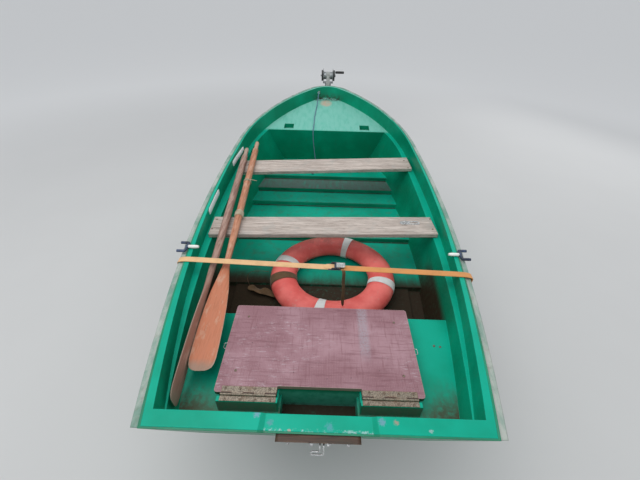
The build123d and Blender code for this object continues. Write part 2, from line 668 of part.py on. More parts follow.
winch_half = 46
winch_plate = 4
winch_height = 124
winch_depth = 104
drum_z = post_top + 66
wound_radius = 34
winch_strap_thickness = 3
frame = block(-winch_half - winch_plate, winch_half + winch_plate, winch_post_station - 40, winch_post_station + 40,
              post_top, post_top + winch_plate)
for side in (-1, 1):
    wall = block(side * winch_half, side * (winch_half + winch_plate), winch_post_station - winch_depth / 2,
                 winch_post_station + winch_depth / 2, post_top, post_top + winch_height)
    frame += fillet(wall.edges().filter_by(Axis.X), 12)
frame -= tube_x(-100, 100, winch_post_station, drum_z, 8 + hub_gap)
save("winch_frame", frame)
drum = tube_x(-winch_half + 1, winch_half - 1, winch_post_station, drum_z, wound_radius)
drum += tube_x(-winch_half + 1, -winch_half + 4, winch_post_station, drum_z, 44)
drum += tube_x(winch_half - 4, winch_half - 1, winch_post_station, drum_z, 44)
drum += tube_x(-winch_half - 30, winch_half + 30, winch_post_station, drum_z, 8)
save("winch_drum", drum)
cheeks = []
for side in (-1, 1):
    cheek = tube_x(side * (winch_half + winch_plate), side * (winch_half + winch_plate + 16), winch_post_station,
                   drum_z, 50)
    cheeks.append(cheek - tube_x(-100, 100, winch_post_station, drum_z, 8 + hub_gap))
save("winch_cheeks", Compound(children=[s for item in cheeks for s in item.solids()]))
crank_x = winch_half + 30
crank = block(crank_x - 10, crank_x - 2, winch_post_station - 12, winch_post_station + 180, drum_z - 12, drum_z + 12)
crank -= tube_x(-100, 100, winch_post_station, drum_z, 8 + hub_gap)
crank += tube_x(crank_x - 3, crank_x + 92, winch_post_station + 166, drum_z, 8)
save("winch_crank", crank)

bow_eye_tip = 3105
stem = boat_block(-1, 1, 2900, 3200, eye_height - 1, eye_height + 1) & outer_form
stem_station = stem.bounding_box().max.Y - stern_y
eye_legs = [at(0, stem_station - 8, eye_height - 16), at(0, bow_eye_tip, eye_height - 16),
            at(0, bow_eye_tip, eye_height + 16), at(0, stem_station - 8, eye_height + 16)]
eye_line = FilletPolyline(*eye_legs, radius=12)
bow_eye = sweep(Plane(origin=eye_line @ 0, z_dir=eye_line % 0) * Circle(4), eye_line) - close_hull

# Painter from a boss on the inner bow wall, over the bow seat and down to the floor
painter_size = 8
painter_lie = painter_size / 2 + 0.6
painter_points = [
    (-88, 3030, 328), (-90, 2988, 318), (-95, 2950, 277), (-101, 2893, 240),
    (-109, 2790, ledge_rise(2790) + painter_lie), (-117, 2685, ledge_rise(2685) + painter_lie),
    (-116, 2590, ledge_rise(2590) + painter_lie), (-119, 2500, 163), (-120, 2447, 143), (-119, 2440, 88),
    (-112, 2437, 10), (-102, 2432, -68), (-95, 2420, -128), (-93, 2376, floor_steps[-1][1] + painter_lie),
    (-98, 2300, floor_steps[-1][1] + painter_lie), (-110, 2236, floor_steps[-1][1] + painter_lie + 5),
]
painter_boss = 13
knot_radius = 9
knot_length = 22
route = [at(*point) for point in painter_points]
painter_radii = []
for before, corner, after in zip(route, route[1:], route[2:]):
    half_turn = math.radians((corner - before).get_angle(after - corner)) / 2
    shorter = min((corner - before).length, (after - corner).length)
    painter_radii.append(0.45 * shorter / math.tan(half_turn))
painter_line = FilletPolyline(*route, radius=painter_radii)
painter_start = Plane(origin=painter_line @ 0, z_dir=painter_line % 0)
painter = sweep(painter_start * Circle(painter_size / 2), painter_line)
save("painter_rope", painter)
print("painter radii", [round(radius) for radius in painter_radii], "length", round(painter_line.length),
      "volume share", round(painter.volume / (math.pi * painter_size ** 2 / 4 * painter_line.length), 4))
knot = fillet(Cylinder(knot_radius, knot_length, align=(Align.CENTER, Align.CENTER, Align.MIN)).edges(), 4)
save("painter_knot", Plane(origin=painter_line @ 1, z_dir=painter_line % 1) * knot)
wall_face = stack([shrink(row, seat_gap) for row in wall_rows])
boss = painter_start * Cylinder(painter_boss, 60, align=(Align.CENTER, Align.CENTER, Align.MAX)) & wall_face
save("bow_eye", Compound(children=[*bow_eye.solids(), *boss.solids()]))
strap_low = at(0, bow_eye_tip + winch_strap_thickness + 4, eye_height + 6)
to_drum = low(0, winch_post_station, drum_z) - strap_low
lead_angle = math.asin((wound_radius + seat_gap + winch_strap_thickness / 2) / to_drum.length)
lead = to_drum.rotate(Axis.X, math.degrees(lead_angle))
strap_plane = Plane(origin=strap_low, x_dir=(1, 0, 0), z_dir=lead)
save("winch_strap", strap_plane * extrude(Rectangle(40, winch_strap_thickness), to_drum.length * math.cos(lead_angle)))

# Coupling head on the nose of the spine
ball_radius = 25
coupling_skirt = 38
ball_station = coupling_nose - coupling_skirt
ball_height = spine_top - 2
head = block(-32, 32, spine_fore - 140, ball_station, spine_top, spine_top + 46)
head = fillet(head.edges().filter_by(Axis.Y), 8)
skirt = Pos(low(0, ball_station, spine_top - 26)) * Cylinder(coupling_skirt, 72, align=(Align.CENTER, Align.CENTER, Align.MIN))
head += fillet(skirt.edges().group_by(Axis.Z)[-1], 14)
head -= Pos(low(0, ball_station, ball_height)) * Sphere(ball_radius)
head -= Pos(low(0, ball_station, spine_top - 60)) * Cylinder(ball_radius, 58, align=(Align.CENTER, Align.CENTER, Align.MIN))
save("coupling_head", head)
lever = block(-14, 14, ball_station - 150, ball_station - 10, spine_top + 58, spine_top + 66)
lever += block(-14, 14, ball_station - 60, ball_station - 30, spine_top + 46, spine_top + 60)
save("coupling_lever", lever)

# Jockey wheel clamped to the port side of the spine
jockey_x = -82
jockey_outer = 30
jockey_inner = 23
jockey_wall = 3
jockey_tube_top = 700
jockey_tube_bottom = 286
jockey_radius = 100
jockey_width = 56
jockey_trail = 42
fork_top = 212
swivel_pin = 10
clamp = block(jockey_x - 44, -spine_size / 2, jockey_station - 40, jockey_station + 40, spine_top - 62, spine_top - 8)
clamp = fillet(clamp.edges().filter_by(Axis.Z), 10)
clamp -= Pos(low(jockey_x, jockey_station, 0)) * Cylinder(jockey_outer + 0.2, 1000)
save("jockey_clamp", clamp)
base_align = (Align.CENTER, Align.CENTER, Align.MIN)
outer_tube = Cylinder(jockey_outer, jockey_tube_top - jockey_tube_bottom, align=base_align)
outer_tube -= Cylinder(jockey_outer - jockey_wall, jockey_tube_top - jockey_tube_bottom - 10, align=base_align)
save("jockey_outer_tube", Pos(low(jockey_x, jockey_station, jockey_tube_bottom)) * outer_tube)
inner_low = fork_top + 0.5
inner_tube = Cylinder(jockey_inner, jockey_tube_bottom + 240 - inner_low, align=base_align)
inner_tube -= Cylinder(swivel_pin + hub_gap, 46, align=base_align)
inner_tube += Pos(0, 0, jockey_tube_bottom - inner_low + 5) * Cylinder(jockey_outer - jockey_wall - 0.3, 19, align=base_align)
save("jockey_inner_tube", Pos(low(jockey_x, jockey_station, inner_low)) * inner_tube)
crank_z = jockey_tube_top
handle = Pos(low(jockey_x, jockey_station, crank_z)) * Cylinder(9, 26, align=base_align)
handle += block(jockey_x - 8, jockey_x + 8, jockey_station - 8, jockey_station + 120, crank_z + 18, crank_z + 28)
handle += Pos(low(jockey_x, jockey_station + 112, crank_z + 22)) * Cylinder(9, 80, align=base_align)
save("jockey_handle", handle)
fork_x = jockey_width / 2 + 6
fork = block(jockey_x - fork_x - 6, jockey_x + fork_x + 6, jockey_station - jockey_trail - 24, jockey_station + 26,
             fork_top - 7, fork_top)
for side in (-1, 1):
    fork += block(jockey_x + side * fork_x, jockey_x + side * (fork_x + 6), jockey_station - jockey_trail - 24,
                  jockey_station - jockey_trail + 24, jockey_radius - 20, fork_top)
fork += Pos(low(jockey_x, jockey_station, fork_top)) * Cylinder(swivel_pin, 44, align=base_align)
fork += rod(low(jockey_x - fork_x - 3, jockey_station - jockey_trail, jockey_radius),
            low(jockey_x + fork_x + 3, jockey_station - jockey_trail, jockey_radius), 8)
save("jockey_fork", fork)
tread = Rot(0, 90, 0) * (fillet(Cylinder(jockey_radius, jockey_width).edges(), 14) - Cylinder(8 + hub_gap, jockey_width + 2))
save("jockey_wheel", Pos(low(jockey_x, jockey_station - jockey_trail, jockey_radius)) * tread)

# Rowlocks lying on the gunwales beside their sockets
def sheer_at(station):
    arc = ThreePointArc((-120, sheer_aft), (1500, sheer_middle), (3180, sheer_bow))
    return arc.arc_center.Y - math.sqrt(arc.radius ** 2 - (station - arc.arc_center.X) ** 2)


def strake_reach(station):
    """Outer edge of the rub strake at a station."""
    window = boat_block(300, 900, station - 25, station + 25, -400, 600)
    return (rub_strake & window).bounding_box().max.X


rowlock_station = 832
horns = []
lock_pins = []
sockets = []
for side in (-1, 1):
    reach = strake_reach(rowlock_station)
    lie = sheer_at(rowlock_station + 8) + 7.4
    inner = reach - 24
    horn_line = FilletPolyline(
        at(side * (reach + 18), rowlock_station - 34, lie), at(side * inner, rowlock_station - 34, lie),
        at(side * inner, rowlock_station + 34, lie), at(side * (reach + 18), rowlock_station + 34, lie), radius=22)
    horns.append(sweep(Plane(origin=horn_line @ 0, z_dir=horn_line % 0) * Circle(7.5), horn_line))
    lock_pins.append(rod(at(side * (inner - 7.8), rowlock_station, lie), at(side * (inner - 62), rowlock_station, lie), 7))
save("rowlock_horns", Compound(children=[s for item in horns for s in item.solids()]))
save("rowlock_pins", Compound(children=lock_pins))

# Tie-down strap over both gunwales and down to the aft cross member
reach = strake_reach(strap_station)
top = ledge_height + sheer_at(strap_station - 20) + 1
side_points = [(644, cross_top - cross_size / 2), (reach + 1, ledge_height + 40), (reach + 1, top - strake_drop + 2),
               (reach - strake_width + 2, top + 2)]
loop = side_points + [(-x, z) for x, z in reversed(side_points)]
strap_face = make_face(Polyline(*loop, close=True))
strap_outer = offset(strap_face, strap_thickness, kind=Kind.INTERSECTION)
strap_band = strap_outer - strap_face
strap_face_plane = Plane(origin=(0, stern_y + strap_station + strap_width / 2, 0), x_dir=(1, 0, 0), z_dir=(0, -1, 0))
strap = extrude(strap_face_plane * strap_band, strap_width)
strap -= block(-640, 640, strap_station - 50, strap_station + 50, 200, cross_top + 60)
save("tie_strap", strap)
buckle = block(22, 92, strap_station - 23, strap_station + 23, top + 2 + strap_thickness, top + 22)
save("strap_buckle", fillet(buckle.edges().filter_by(Axis.Y), 6))
print("box", stern_y - tail_reach, stern_y + coupling_nose)
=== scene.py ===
import math

import bmesh
import bpy
from mathutils import Matrix, Vector


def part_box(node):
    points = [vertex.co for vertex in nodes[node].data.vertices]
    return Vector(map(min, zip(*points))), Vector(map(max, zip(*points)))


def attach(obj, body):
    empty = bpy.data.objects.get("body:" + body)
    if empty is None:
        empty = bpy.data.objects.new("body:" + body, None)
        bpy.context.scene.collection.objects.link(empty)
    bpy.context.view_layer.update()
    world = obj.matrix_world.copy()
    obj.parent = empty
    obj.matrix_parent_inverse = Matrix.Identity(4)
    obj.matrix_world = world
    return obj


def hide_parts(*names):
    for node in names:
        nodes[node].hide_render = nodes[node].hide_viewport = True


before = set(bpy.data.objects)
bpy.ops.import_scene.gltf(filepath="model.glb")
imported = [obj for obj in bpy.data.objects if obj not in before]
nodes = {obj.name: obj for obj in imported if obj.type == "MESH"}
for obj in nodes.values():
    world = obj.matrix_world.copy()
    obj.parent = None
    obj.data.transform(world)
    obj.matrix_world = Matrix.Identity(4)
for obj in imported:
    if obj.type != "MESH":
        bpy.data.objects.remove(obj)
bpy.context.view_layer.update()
print("frame loaded,", len(nodes), "nodes")

# Places that the pieces share, read from the frame

def boxOf(node):
    # the low and the high corner of a node's box
    return [Vector(corner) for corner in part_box(node)]


lidLow, lidHigh = boxOf("locker_lid")
lidSunk = 0.022  # the lid's top lies this far under the seat ledge
lidAhead = 0.117  # its after edge lies this far ahead of the transom's inner edge
ledgeZ = lidHigh.z + lidSunk
sternY = lidLow.y - lidAhead
boat = "boat_on_trailer"  # the body that stands still
fullTurn = 2 * math.pi
waveWidth = 0.314  # from band to band of a wave texture at scale 1


def boatPoint(x, station, height):
    # a point in boat measures: station from the transom, height over the seat ledge
    return Vector((x, sternY + station, ledgeZ + height))


def fromScreen(red, green, blue):
    # a colour as a screen shows it, 0 to 255, as linear light
    linear = []
    for value in (red, green, blue):
        share = value / 255
        linear.append(share / 12.92 if share <= 0.04045 else ((share + 0.055) / 1.055) ** 2.4)
    return (*linear, 1.0)


# Shader maths as expressions

class Wire:
    # one output of a material's node tree
    def __init__(self, finish, socket):
        self.finish = finish
        self.socket = socket

    def join(self, operation, first, second):
        # numbers meet in a Math node, colours and vectors in a Vector Math node
        kind = "ShaderNodeMath"
        values = [first, second]
        if any(isinstance(value, Wire) and value.socket.type != "VALUE" for value in values):
            kind = "ShaderNodeVectorMath"
            values = [(value,) * 3 if isinstance(value, (int, float)) else value for value in values]
        return self.finish.node(kind, {"operation": operation}, dict(enumerate(values)))

    def __add__(self, other):
        return self.join("ADD", self, other)

    def __radd__(self, other):
        return self.join("ADD", other, self)

    def __sub__(self, other):
        return self.join("SUBTRACT", self, other)

    def __rsub__(self, other):
        return self.join("SUBTRACT", other, self)

    def __mul__(self, other):
        return self.join("MULTIPLY", self, other)

    def __rmul__(self, other):
        return self.join("MULTIPLY", other, self)

    def __truediv__(self, other):
        return self.join("DIVIDE", self, other)

    def __abs__(self):
        return self.finish.node("ShaderNodeMath", {"operation": "ABSOLUTE"}, {0: self})

    def step(self, low, high, start=0.0, end=1.0):
        # rises smoothly from start at low to end at high
        inputs = {"Value": self, "From Min": low, "From Max": high, "To Min": start, "To Max": end}
        return self.finish.node("ShaderNodeMapRange", {"interpolation_type": "SMOOTHSTEP"}, inputs, "Result")


class Finish:
    # one procedural material
    def __init__(self, name):
        self.material = bpy.data.materials.new(name)
        self.material.use_nodes = True
        self.tree = self.material.node_tree
        self.shader = self.tree.nodes["Principled BSDF"]

    def node(self, kind, settings=None, inputs=None, output=0):
        made = self.tree.nodes.new(kind)
        for key, value in (settings or {}).items():
            setattr(made, key, value)
        for key, value in (inputs or {}).items():
            if isinstance(value, Wire):
                self.tree.links.new(value.socket, made.inputs[key])
            else:
                made.inputs[key].default_value = value
        return Wire(self, made.outputs[output])

    def place(self, scale=(1, 1, 1), turn=(0, 0, 0), shift=(0, 0, 0)):
        # object coordinates in metres, which are the frame's own
        coordinate = self.node("ShaderNodeTexCoord", output="Object")
        settings = {"Vector": coordinate, "Scale": scale, "Rotation": turn, "Location": shift}
        return self.node("ShaderNodeMapping", {"vector_type": "POINT"}, settings)

    def axes(self):
        # x, y and z of the place as three wires
        split = self.node("ShaderNodeSeparateXYZ", inputs={"Vector": self.place()})
        outputs = split.socket.node.outputs
        return [Wire(self, outputs[index]) for index in range(3)]

    def facing(self):
        # how far a surface looks up, from -1 to 1
        geometry = self.node("ShaderNodeNewGeometry", output="Normal")
        return self.node("ShaderNodeSeparateXYZ", inputs={"Vector": geometry}, output=2)

    def own(self, scale):
        # the piece's own map: U along it, V round it
        mapped = self.node("ShaderNodeUVMap", {"uv_map": "along"})
        return self.node("ShaderNodeMapping", {"vector_type": "POINT"}, {"Vector": mapped, "Scale": scale})

    def noise(self, size, detail=4, rough=0.55, place=None, warp=0.0):
        # cloudy grain, its lumps about size metres across
        inputs = {"Vector": place or self.place(), "Scale": 1 / size, "Detail": detail, "Roughness": rough,
                  "Distortion": warp}
        return self.node("ShaderNodeTexNoise", inputs=inputs, output="Fac")

    def cells(self, size):
        # distance from the middle of cells about size metres across
        inputs = {"Vector": self.place(), "Scale": 1 / size}
        return self.node("ShaderNodeTexVoronoi", {"feature": "F1"}, inputs, "Distance")

    def wave(self, size, axis, warp):
        # bands size metres apart along an axis
        inputs = {"Vector": self.place(), "Scale": waveWidth / size, "Distortion": warp, "Detail": 2.0}
        settings = {"bands_direction": axis, "wave_profile": "SIN"}
        return self.node("ShaderNodeTexWave", settings, inputs, "Fac")

    def mix(self, share, first, second):
        inputs = {"Factor": share, 6: first, 7: second}
        return self.node("ShaderNodeMix", {"data_type": "RGBA", "blend_type": "MIX"}, inputs, 2)

    def bump(self, height, strength, depth, under=None):
        inputs = {"Height": height, "Strength": strength, "Distance": depth}
        if under is not None:
            inputs["Normal"] = under
        return self.node("ShaderNodeBump", inputs=inputs)

    def edges(self, radius):
        # 1 near a convex or concave edge, from the rounded normal
        plain = self.node("ShaderNodeNewGeometry", output="Normal")
        inputs = {0: self.rounded(radius), 1: plain}
        dot = self.node("ShaderNodeVectorMath", {"operation": "DOT_PRODUCT"}, inputs, "Value")
        return (1 - dot).step(0.02, 0.2)

    def rounded(self, radius):
        # the normal of the surface as if its edges were rounded off
        return self.node("ShaderNodeBevel", {"samples": 4}, {"Radius": radius})

    def surface(self, **values):
        # values by the shader's own socket names, with _ for a space
        for key, value in values.items():
            socket = self.shader.inputs[key.replace("_", " ")]
            if isinstance(value, Wire):
                self.tree.links.new(value.socket, socket)
            else:
                socket.default_value = value
        return self.material


def paintNode(node, material):
    # the finish of a CAD piece that is carried over as it is
    piece = nodes[node]
    piece.data.materials.clear()
    piece.data.materials.append(material)


# Modelling by hand: a primitive is started, shaped in edit mode and settled

def begin():
    # out of edit mode, nothing selected
    if bpy.context.object and bpy.context.object.mode != "OBJECT":
        bpy.ops.object.mode_set(mode="OBJECT")
    bpy.ops.object.select_all(action="DESELECT")


def take(piece):
    begin()
    piece.select_set(True)
    bpy.context.view_layer.objects.active = piece
    return piece


def started(name):
    piece = bpy.context.object
    piece.name = name
    piece.data.name = name
    return piece


def block(name, size, place=(0, 0, 0)):
    begin()
    bpy.ops.mesh.primitive_cube_add(size=1, location=place)
    bpy.context.object.scale = size
    piece = started(name)
    settle(piece)
    return piece


def roundBar(name, radius, depth, place=(0, 0, 0), turn=(0, 0, 0), corners=24):
    begin()
    bpy.ops.mesh.primitive_cylinder_add(vertices=corners, radius=radius, depth=depth, location=place,
                                        rotation=turn)
    piece = started(name)
    settle(piece)
    return piece


def torus(name, radius, thick, steps, around, place, turn):
    begin()
    bpy.ops.mesh.primitive_torus_add(major_radius=radius, minor_radius=thick, major_segments=steps,
                                     minor_segments=around, location=place, rotation=turn)
    piece = started(name)
    settle(piece)
    return piece


def settle(piece):
    # the place goes into the mesh
    take(piece)
    bpy.ops.object.transform_apply(location=True, rotation=True, scale=True)


def shape(piece, kind, **settings):
    # one modifier, set and applied
    take(piece)
    modifier = piece.modifiers.new(kind.lower(), kind)
    for key, value in settings.items():
        setattr(modifier, key, value)
    bpy.ops.object.modifier_apply(modifier=modifier.name)
    return piece


def softened(piece, width, segments=1):
    # a narrow bevel along every sharp edge
    return shape(piece, "BEVEL", width=width, segments=segments, limit_method="ANGLE")


def lumpy(piece, name, size, strength, middle=0.5):
    # the surface moved in and out by clouds about size metres across
    clouds = bpy.data.textures.new(name, "CLOUDS")
    clouds.noise_scale = size
    return shape(piece, "DISPLACE", texture=clouds, strength=strength, mid_level=middle,
                 texture_coords="LOCAL")


def pick(piece, test, kind="FACE"):
    # edit mode with the faces, edges or points that pass the test selected
    if piece.mode != "EDIT":
        take(piece)
        bpy.ops.object.mode_set(mode="EDIT")
    bpy.ops.mesh.select_mode(type=kind)
    bpy.ops.mesh.select_all(action="DESELECT")
    mesh = bmesh.from_edit_mesh(piece.data)
    for item in {"FACE": mesh.faces, "EDGE": mesh.edges, "VERT": mesh.verts}[kind]:
        if test(item):
            item.select_set(True)
    mesh.select_flush_mode()
    bmesh.update_edit_mesh(piece.data)


def leave():
    bpy.ops.object.mode_set(mode="OBJECT")


def cutUp(piece, test, kind, cuts):
    # the faces or edges that pass the test, subdivided
    pick(piece, test, kind)
    bpy.ops.mesh.subdivide(number_cuts=cuts)
    leave()


def edgeRun(edge, axis):
    # how far an edge runs along x, y or z, which are 0, 1 and 2
    return abs(edge.verts[0].co[axis] - edge.verts[1].co[axis])


def extrude(shift):
    bpy.ops.mesh.extrude_region_move(TRANSFORM_OT_translate={"value": shift})


def closeUp(piece):
    # doubles merged, faces turned outwards
    take(piece)
    bpy.ops.object.mode_set(mode="EDIT")
    bpy.ops.mesh.select_all(action="SELECT")
    bpy.ops.mesh.remove_doubles(threshold=0.00002)
    bpy.ops.mesh.normals_make_consistent(inside=False)
    leave()
    return piece


def onePoint(name):
    # a piece of one point at the origin, left in edit mode with the point selected
    begin()
    bpy.ops.mesh.primitive_plane_add(size=0.001, location=(0, 0, 0))
    piece = started(name)
    bpy.ops.object.mode_set(mode="EDIT")
    bpy.ops.mesh.select_mode(type="VERT")
    bpy.ops.mesh.select_all(action="SELECT")
    bpy.ops.mesh.merge(type="CENTER")
    return piece


def drawn(name, points, closed=False):
    # a line of points, drawn by extruding one point onward
    piece = onePoint(name)
    bpy.ops.transform.translate(value=Vector(points[0]))
    for before, after in zip(points, points[1:]):
        shift = Vector(after) - Vector(before)
        bpy.ops.mesh.extrude_vertices_move(TRANSFORM_OT_translate={"value": shift})
    if closed:
        bpy.ops.mesh.select_all(action="SELECT")
        bpy.ops.mesh.edge_face_add()
        bpy.ops.mesh.delete(type="ONLY_FACE")
    leave()
    return piece


def spun(piece, steps, axis, angle=fullTurn, center=(0, 0, 0)):
    # the drawn outline turned round an axis
    take(piece)
    bpy.ops.object.mode_set(mode="EDIT")
    bpy.ops.mesh.select_all(action="SELECT")
    bpy.ops.mesh.spin(steps=steps, angle=angle, center=center, axis=axis)
    leave()
    return closeUp(piece)


def copied(piece, name, matrix):
    # a copy with its own mesh, put somewhere else
    take(piece)
    bpy.ops.object.duplicate(linked=False)
    copy = started(name)
    copy.matrix_world = matrix @ copy.matrix_world
    settle(copy)
    return copy


def joined(name, pieces):
    take(pieces[0])
    for piece in pieces[1:]:
        piece.select_set(True)
    bpy.ops.object.join()
    return started(name)


def facingMatrix(place, up, turn=0.0):
    # stands a piece modelled along +Z at a place, looking along up
    stood = Vector(up).to_track_quat("Z", "Y").to_matrix().to_4x4()
    return Matrix.Translation(place) @ stood @ Matrix.Rotation(turn, 4, "Z")


def dress(piece, body, material, smooth=35):
    # finish and body of a piece that stands where it belongs
    settle(piece)
    bpy.ops.object.shade_smooth_by_angle(angle=math.radians(smooth))
    piece.data.materials.clear()
    piece.data.materials.append(material)
    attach(piece, body)
    return piece


# Camera behind and above the transom

viewer = {
    "x": -0.005,
    "station": -0.523,
    "height": 1.177,  # over the seat ledge
    "down": 37.1,  # degrees below the horizon
    "aside": -0.57,  # degrees to starboard
    "roll": -1.39,
    "focal": 18.89,
}


def setCamera():
    pitch, yaw, roll = [math.radians(viewer[key]) for key in ("down", "aside", "roll")]
    ahead = Vector((math.sin(yaw) * math.cos(pitch), math.cos(yaw) * math.cos(pitch), -math.sin(pitch)))
    right = Vector((math.cos(yaw), -math.sin(yaw), 0))
    down = ahead.cross(right)
    across = right * math.cos(roll) + down * math.sin(roll)
    below = down * math.cos(roll) - right * math.sin(roll)
    data = bpy.data.cameras.new("photographer")
    data.lens = viewer["focal"]
    data.sensor_width = 36
    data.clip_start = 0.05
    camera = bpy.data.objects.new("photographer", data)
    bpy.context.scene.collection.objects.link(camera)
    turned = Matrix((across, -below, -ahead)).transposed().to_4x4()
    place = boatPoint(viewer["x"], viewer["station"], viewer["height"])
    camera.matrix_world = Matrix.Translation(place) @ turned
    bpy.context.scene.camera = camera


setCamera()
print("camera set")


# Finishes that several pieces share

def agedPlastic(name, look):
    # moulded plastic: cloudy fading, dust where it looks up, worn edges, soft grain
    finish = Finish(name)
    fine = finish.noise(0.012, 6, 0.65)
    tone = finish.mix(finish.noise(look["cloud"], 5).step(0.35, 0.68), look["deep"], look["pale"])
    dust = finish.facing().step(0.2, 0.9) * fine.step(0.35, 0.75) * look["dust"]
    tone = finish.mix(dust, tone, look["soil"])
    worn = finish.edges(0.004) * fine.step(0.3, 0.6) * look["wear"]
    tone = finish.mix(worn, tone, look["bare"])
    scratch = finish.noise(0.02, 8, 0.75, finish.place(scale=(1, 0.12, 1), turn=(0, 0, 0.5))).step(0.64, 0.72)
    tone = finish.mix(scratch * look["wear"] * 0.5, tone, look["bare"])
    rough = fine.step(0.3, 0.8, look["rough"], look["rough"] + 0.18) + dust * 0.2
    grain = finish.bump(finish.noise(look["grain"], 3), 0.3, 0.0005, finish.rounded(0.0025))
    return finish.surface(Base_Color=tone, Roughness=rough, Normal=grain)


def rawWood(name, look):
    # grain drawn out along the piece, weathered patches and open cracks
    finish = Finish(name)
    along = finish.place(scale=look["stretch"], turn=(0, 0, look["turn"]))
    grain = finish.noise(0.011, 8, 0.7, along, warp=0.8)
    fibre = finish.noise(0.0022, 5, 0.6, along)
    tone = finish.mix(grain.step(0.32, 0.68), look["dark"], look["pale"])
    tone = finish.mix(fibre.step(0.5, 0.72) * 0.45, tone, look["line"])
    split = finish.place(scale=look["crackStretch"], turn=(0, 0, look["turn"]))
    crack = 1 - abs(finish.noise(0.016, 3, 0.5, split) - 0.5).step(0.0, 0.012)
    tone = finish.mix(crack * 0.6, tone, look["line"])
    patch = finish.noise(0.09, 5, 0.6).step(0.5, 0.72) * look["patch"]
    tone = finish.mix(patch, tone, look["soil"])
    edge = finish.edges(0.004) * finish.noise(0.02).step(0.35, 0.6) * look["wear"]
    tone = finish.mix(edge, tone, look["bare"])
    lines = finish.bump(fibre + crack * -0.8, 0.45, 0.0007, finish.rounded(0.003))
    rough = grain.step(0.2, 0.8, look["rough"], look["rough"] + 0.15)
    return finish.surface(Base_Color=tone, Roughness=rough, Normal=lines)


rustTone = fromScreen(112, 66, 38)


def zincMetal(name, look):
    # dull zinc flakes, white bloom, and rust that starts at edges
    finish = Finish(name)
    flakes = finish.cells(look["flake"])
    tone = finish.mix(flakes.step(0.15, 0.75), look["deep"], look["pale"])
    bloom = finish.noise(0.05, 6, 0.65).step(0.48, 0.72)
    tone = finish.mix(bloom * 0.5, tone, look["bloom"])
    speck = finish.noise(0.014, 7, 0.7)
    rust = finish.edges(0.005).step(0.1, 0.9) * speck.step(0.42, 0.58) * look["rust"]
    rust = rust + speck.step(0.66, 0.74) * look["rust"] * 0.8
    tone = finish.mix(rust, tone, rustTone)
    rough = bloom.step(0, 1, look["rough"], look["rough"] + 0.2) + rust * 0.25
    grain = finish.bump(finish.noise(0.004, 4), 0.25, 0.0004, finish.rounded(0.002))
    shine = 1 - bloom * 0.5 - rust
    return finish.surface(Base_Color=tone, Roughness=rough, Metallic=shine * look["metal"], Normal=grain)


def wovenBand(name, look):
    # webbing: ribs across, two threads along, soil and fuzz
    finish = Finish(name)
    rib = finish.wave(0.0028, look["rib"], 0.4)
    thread = finish.wave(0.0042, look["thread"], 0.3)
    soil = finish.noise(0.06, 6, 0.65).step(0.4, 0.75)
    tone = finish.mix(rib * 0.35 + thread * 0.25, look["pale"], look["deep"])
    if "other" in look:
        # the two halves of the strap have faded differently
        x, _, _ = finish.axes()
        other = x.step(look["otherFrom"] - 0.004, look["otherFrom"] + 0.004)
        tone = finish.mix(other, tone, look["other"])
    tone = finish.mix(soil * look["dust"], tone, look["soil"])
    fuzz = finish.noise(0.0015, 3)
    weave = finish.bump(rib * 0.7 + thread * 0.5 + fuzz * 0.4, 0.6, 0.0006)
    rough = soil.step(0, 1, 0.75, 0.92)
    return finish.surface(Base_Color=tone, Roughness=rough, Normal=weave, Sheen_Weight=0.15)


def blackRubber(name, look):
    # grey bloom, road dust in the low places, fine cracks
    finish = Finish(name)
    fine = finish.noise(0.01, 7, 0.7)
    tone = finish.mix(finish.noise(0.06, 5).step(0.3, 0.7), look["deep"], look["pale"])
    tone = finish.mix(fine.step(0.48, 0.7) * look["dust"], tone, look["soil"])
    skin = finish.bump(finish.noise(0.003, 5, 0.7) + fine * 0.5, 0.4, 0.0006, finish.rounded(0.002))
    return finish.surface(Base_Color=tone, Roughness=fine.step(0.3, 0.7, 0.62, 0.85), Normal=skin)


# Inner liner: fresh green low down, painted light on upward faces, edges and the wall under the notch,
# chalked by the sun on the bow seat, dirt in the after well

linerLook = {
    "deep": fromScreen(0, 124, 92),
    "bright": fromScreen(0, 150, 116),
    # painted light from above, for upward faces
    "paintedTopLight": fromScreen(0, 174, 146),
    "faded": fromScreen(122, 192, 176),
    # bright edge tone, partly wear and partly painted highlight
    "rim": fromScreen(10, 190, 160),
    "mud": fromScreen(52, 42, 31),
    "stain": fromScreen(88, 78, 60),
    "grime": fromScreen(72, 70, 52),
    "tread": fromScreen(92, 106, 102),
    "bloom": fromScreen(214, 160, 138),
    "knocked": fromScreen(176, 204, 206),
    # painted light on the shaded wall under the notch
    "paintedLitWall": fromScreen(96, 190, 170),
    "runOff": fromScreen(112, 116, 104),
    "disc": (-0.012, 2.955, 0.072),  # x, station, radius of the faded disc
    "steps": (2.19, 2.01, 1.83, 1.4, 0.95),  # stations where the floor steps down
    # chips on the transom cap: x, station, radius, tone
    "chips": (
        (-0.200, -0.006, 0.013, fromScreen(120, 158, 180)), (-0.156, -0.022, 0.014, fromScreen(96, 152, 162)),
        (0.201, -0.015, 0.016, fromScreen(116, 156, 176)), (0.246, -0.016, 0.011, fromScreen(170, 146, 130)),
        (-0.092, -0.046, 0.008, fromScreen(190, 164, 154)), (0.034, -0.030, 0.018, fromScreen(84, 158, 166)),
        (0.118, -0.050, 0.006, fromScreen(190, 206, 204)), (0.352, -0.040, 0.008, fromScreen(164, 186, 188)),
    ),
}


def squareFrom(x, station, middleX, middleStation):
    # squared distance from a point, seen from above
    return (x - middleX) * (x - middleX) + (station - middleStation) * (station - middleStation)


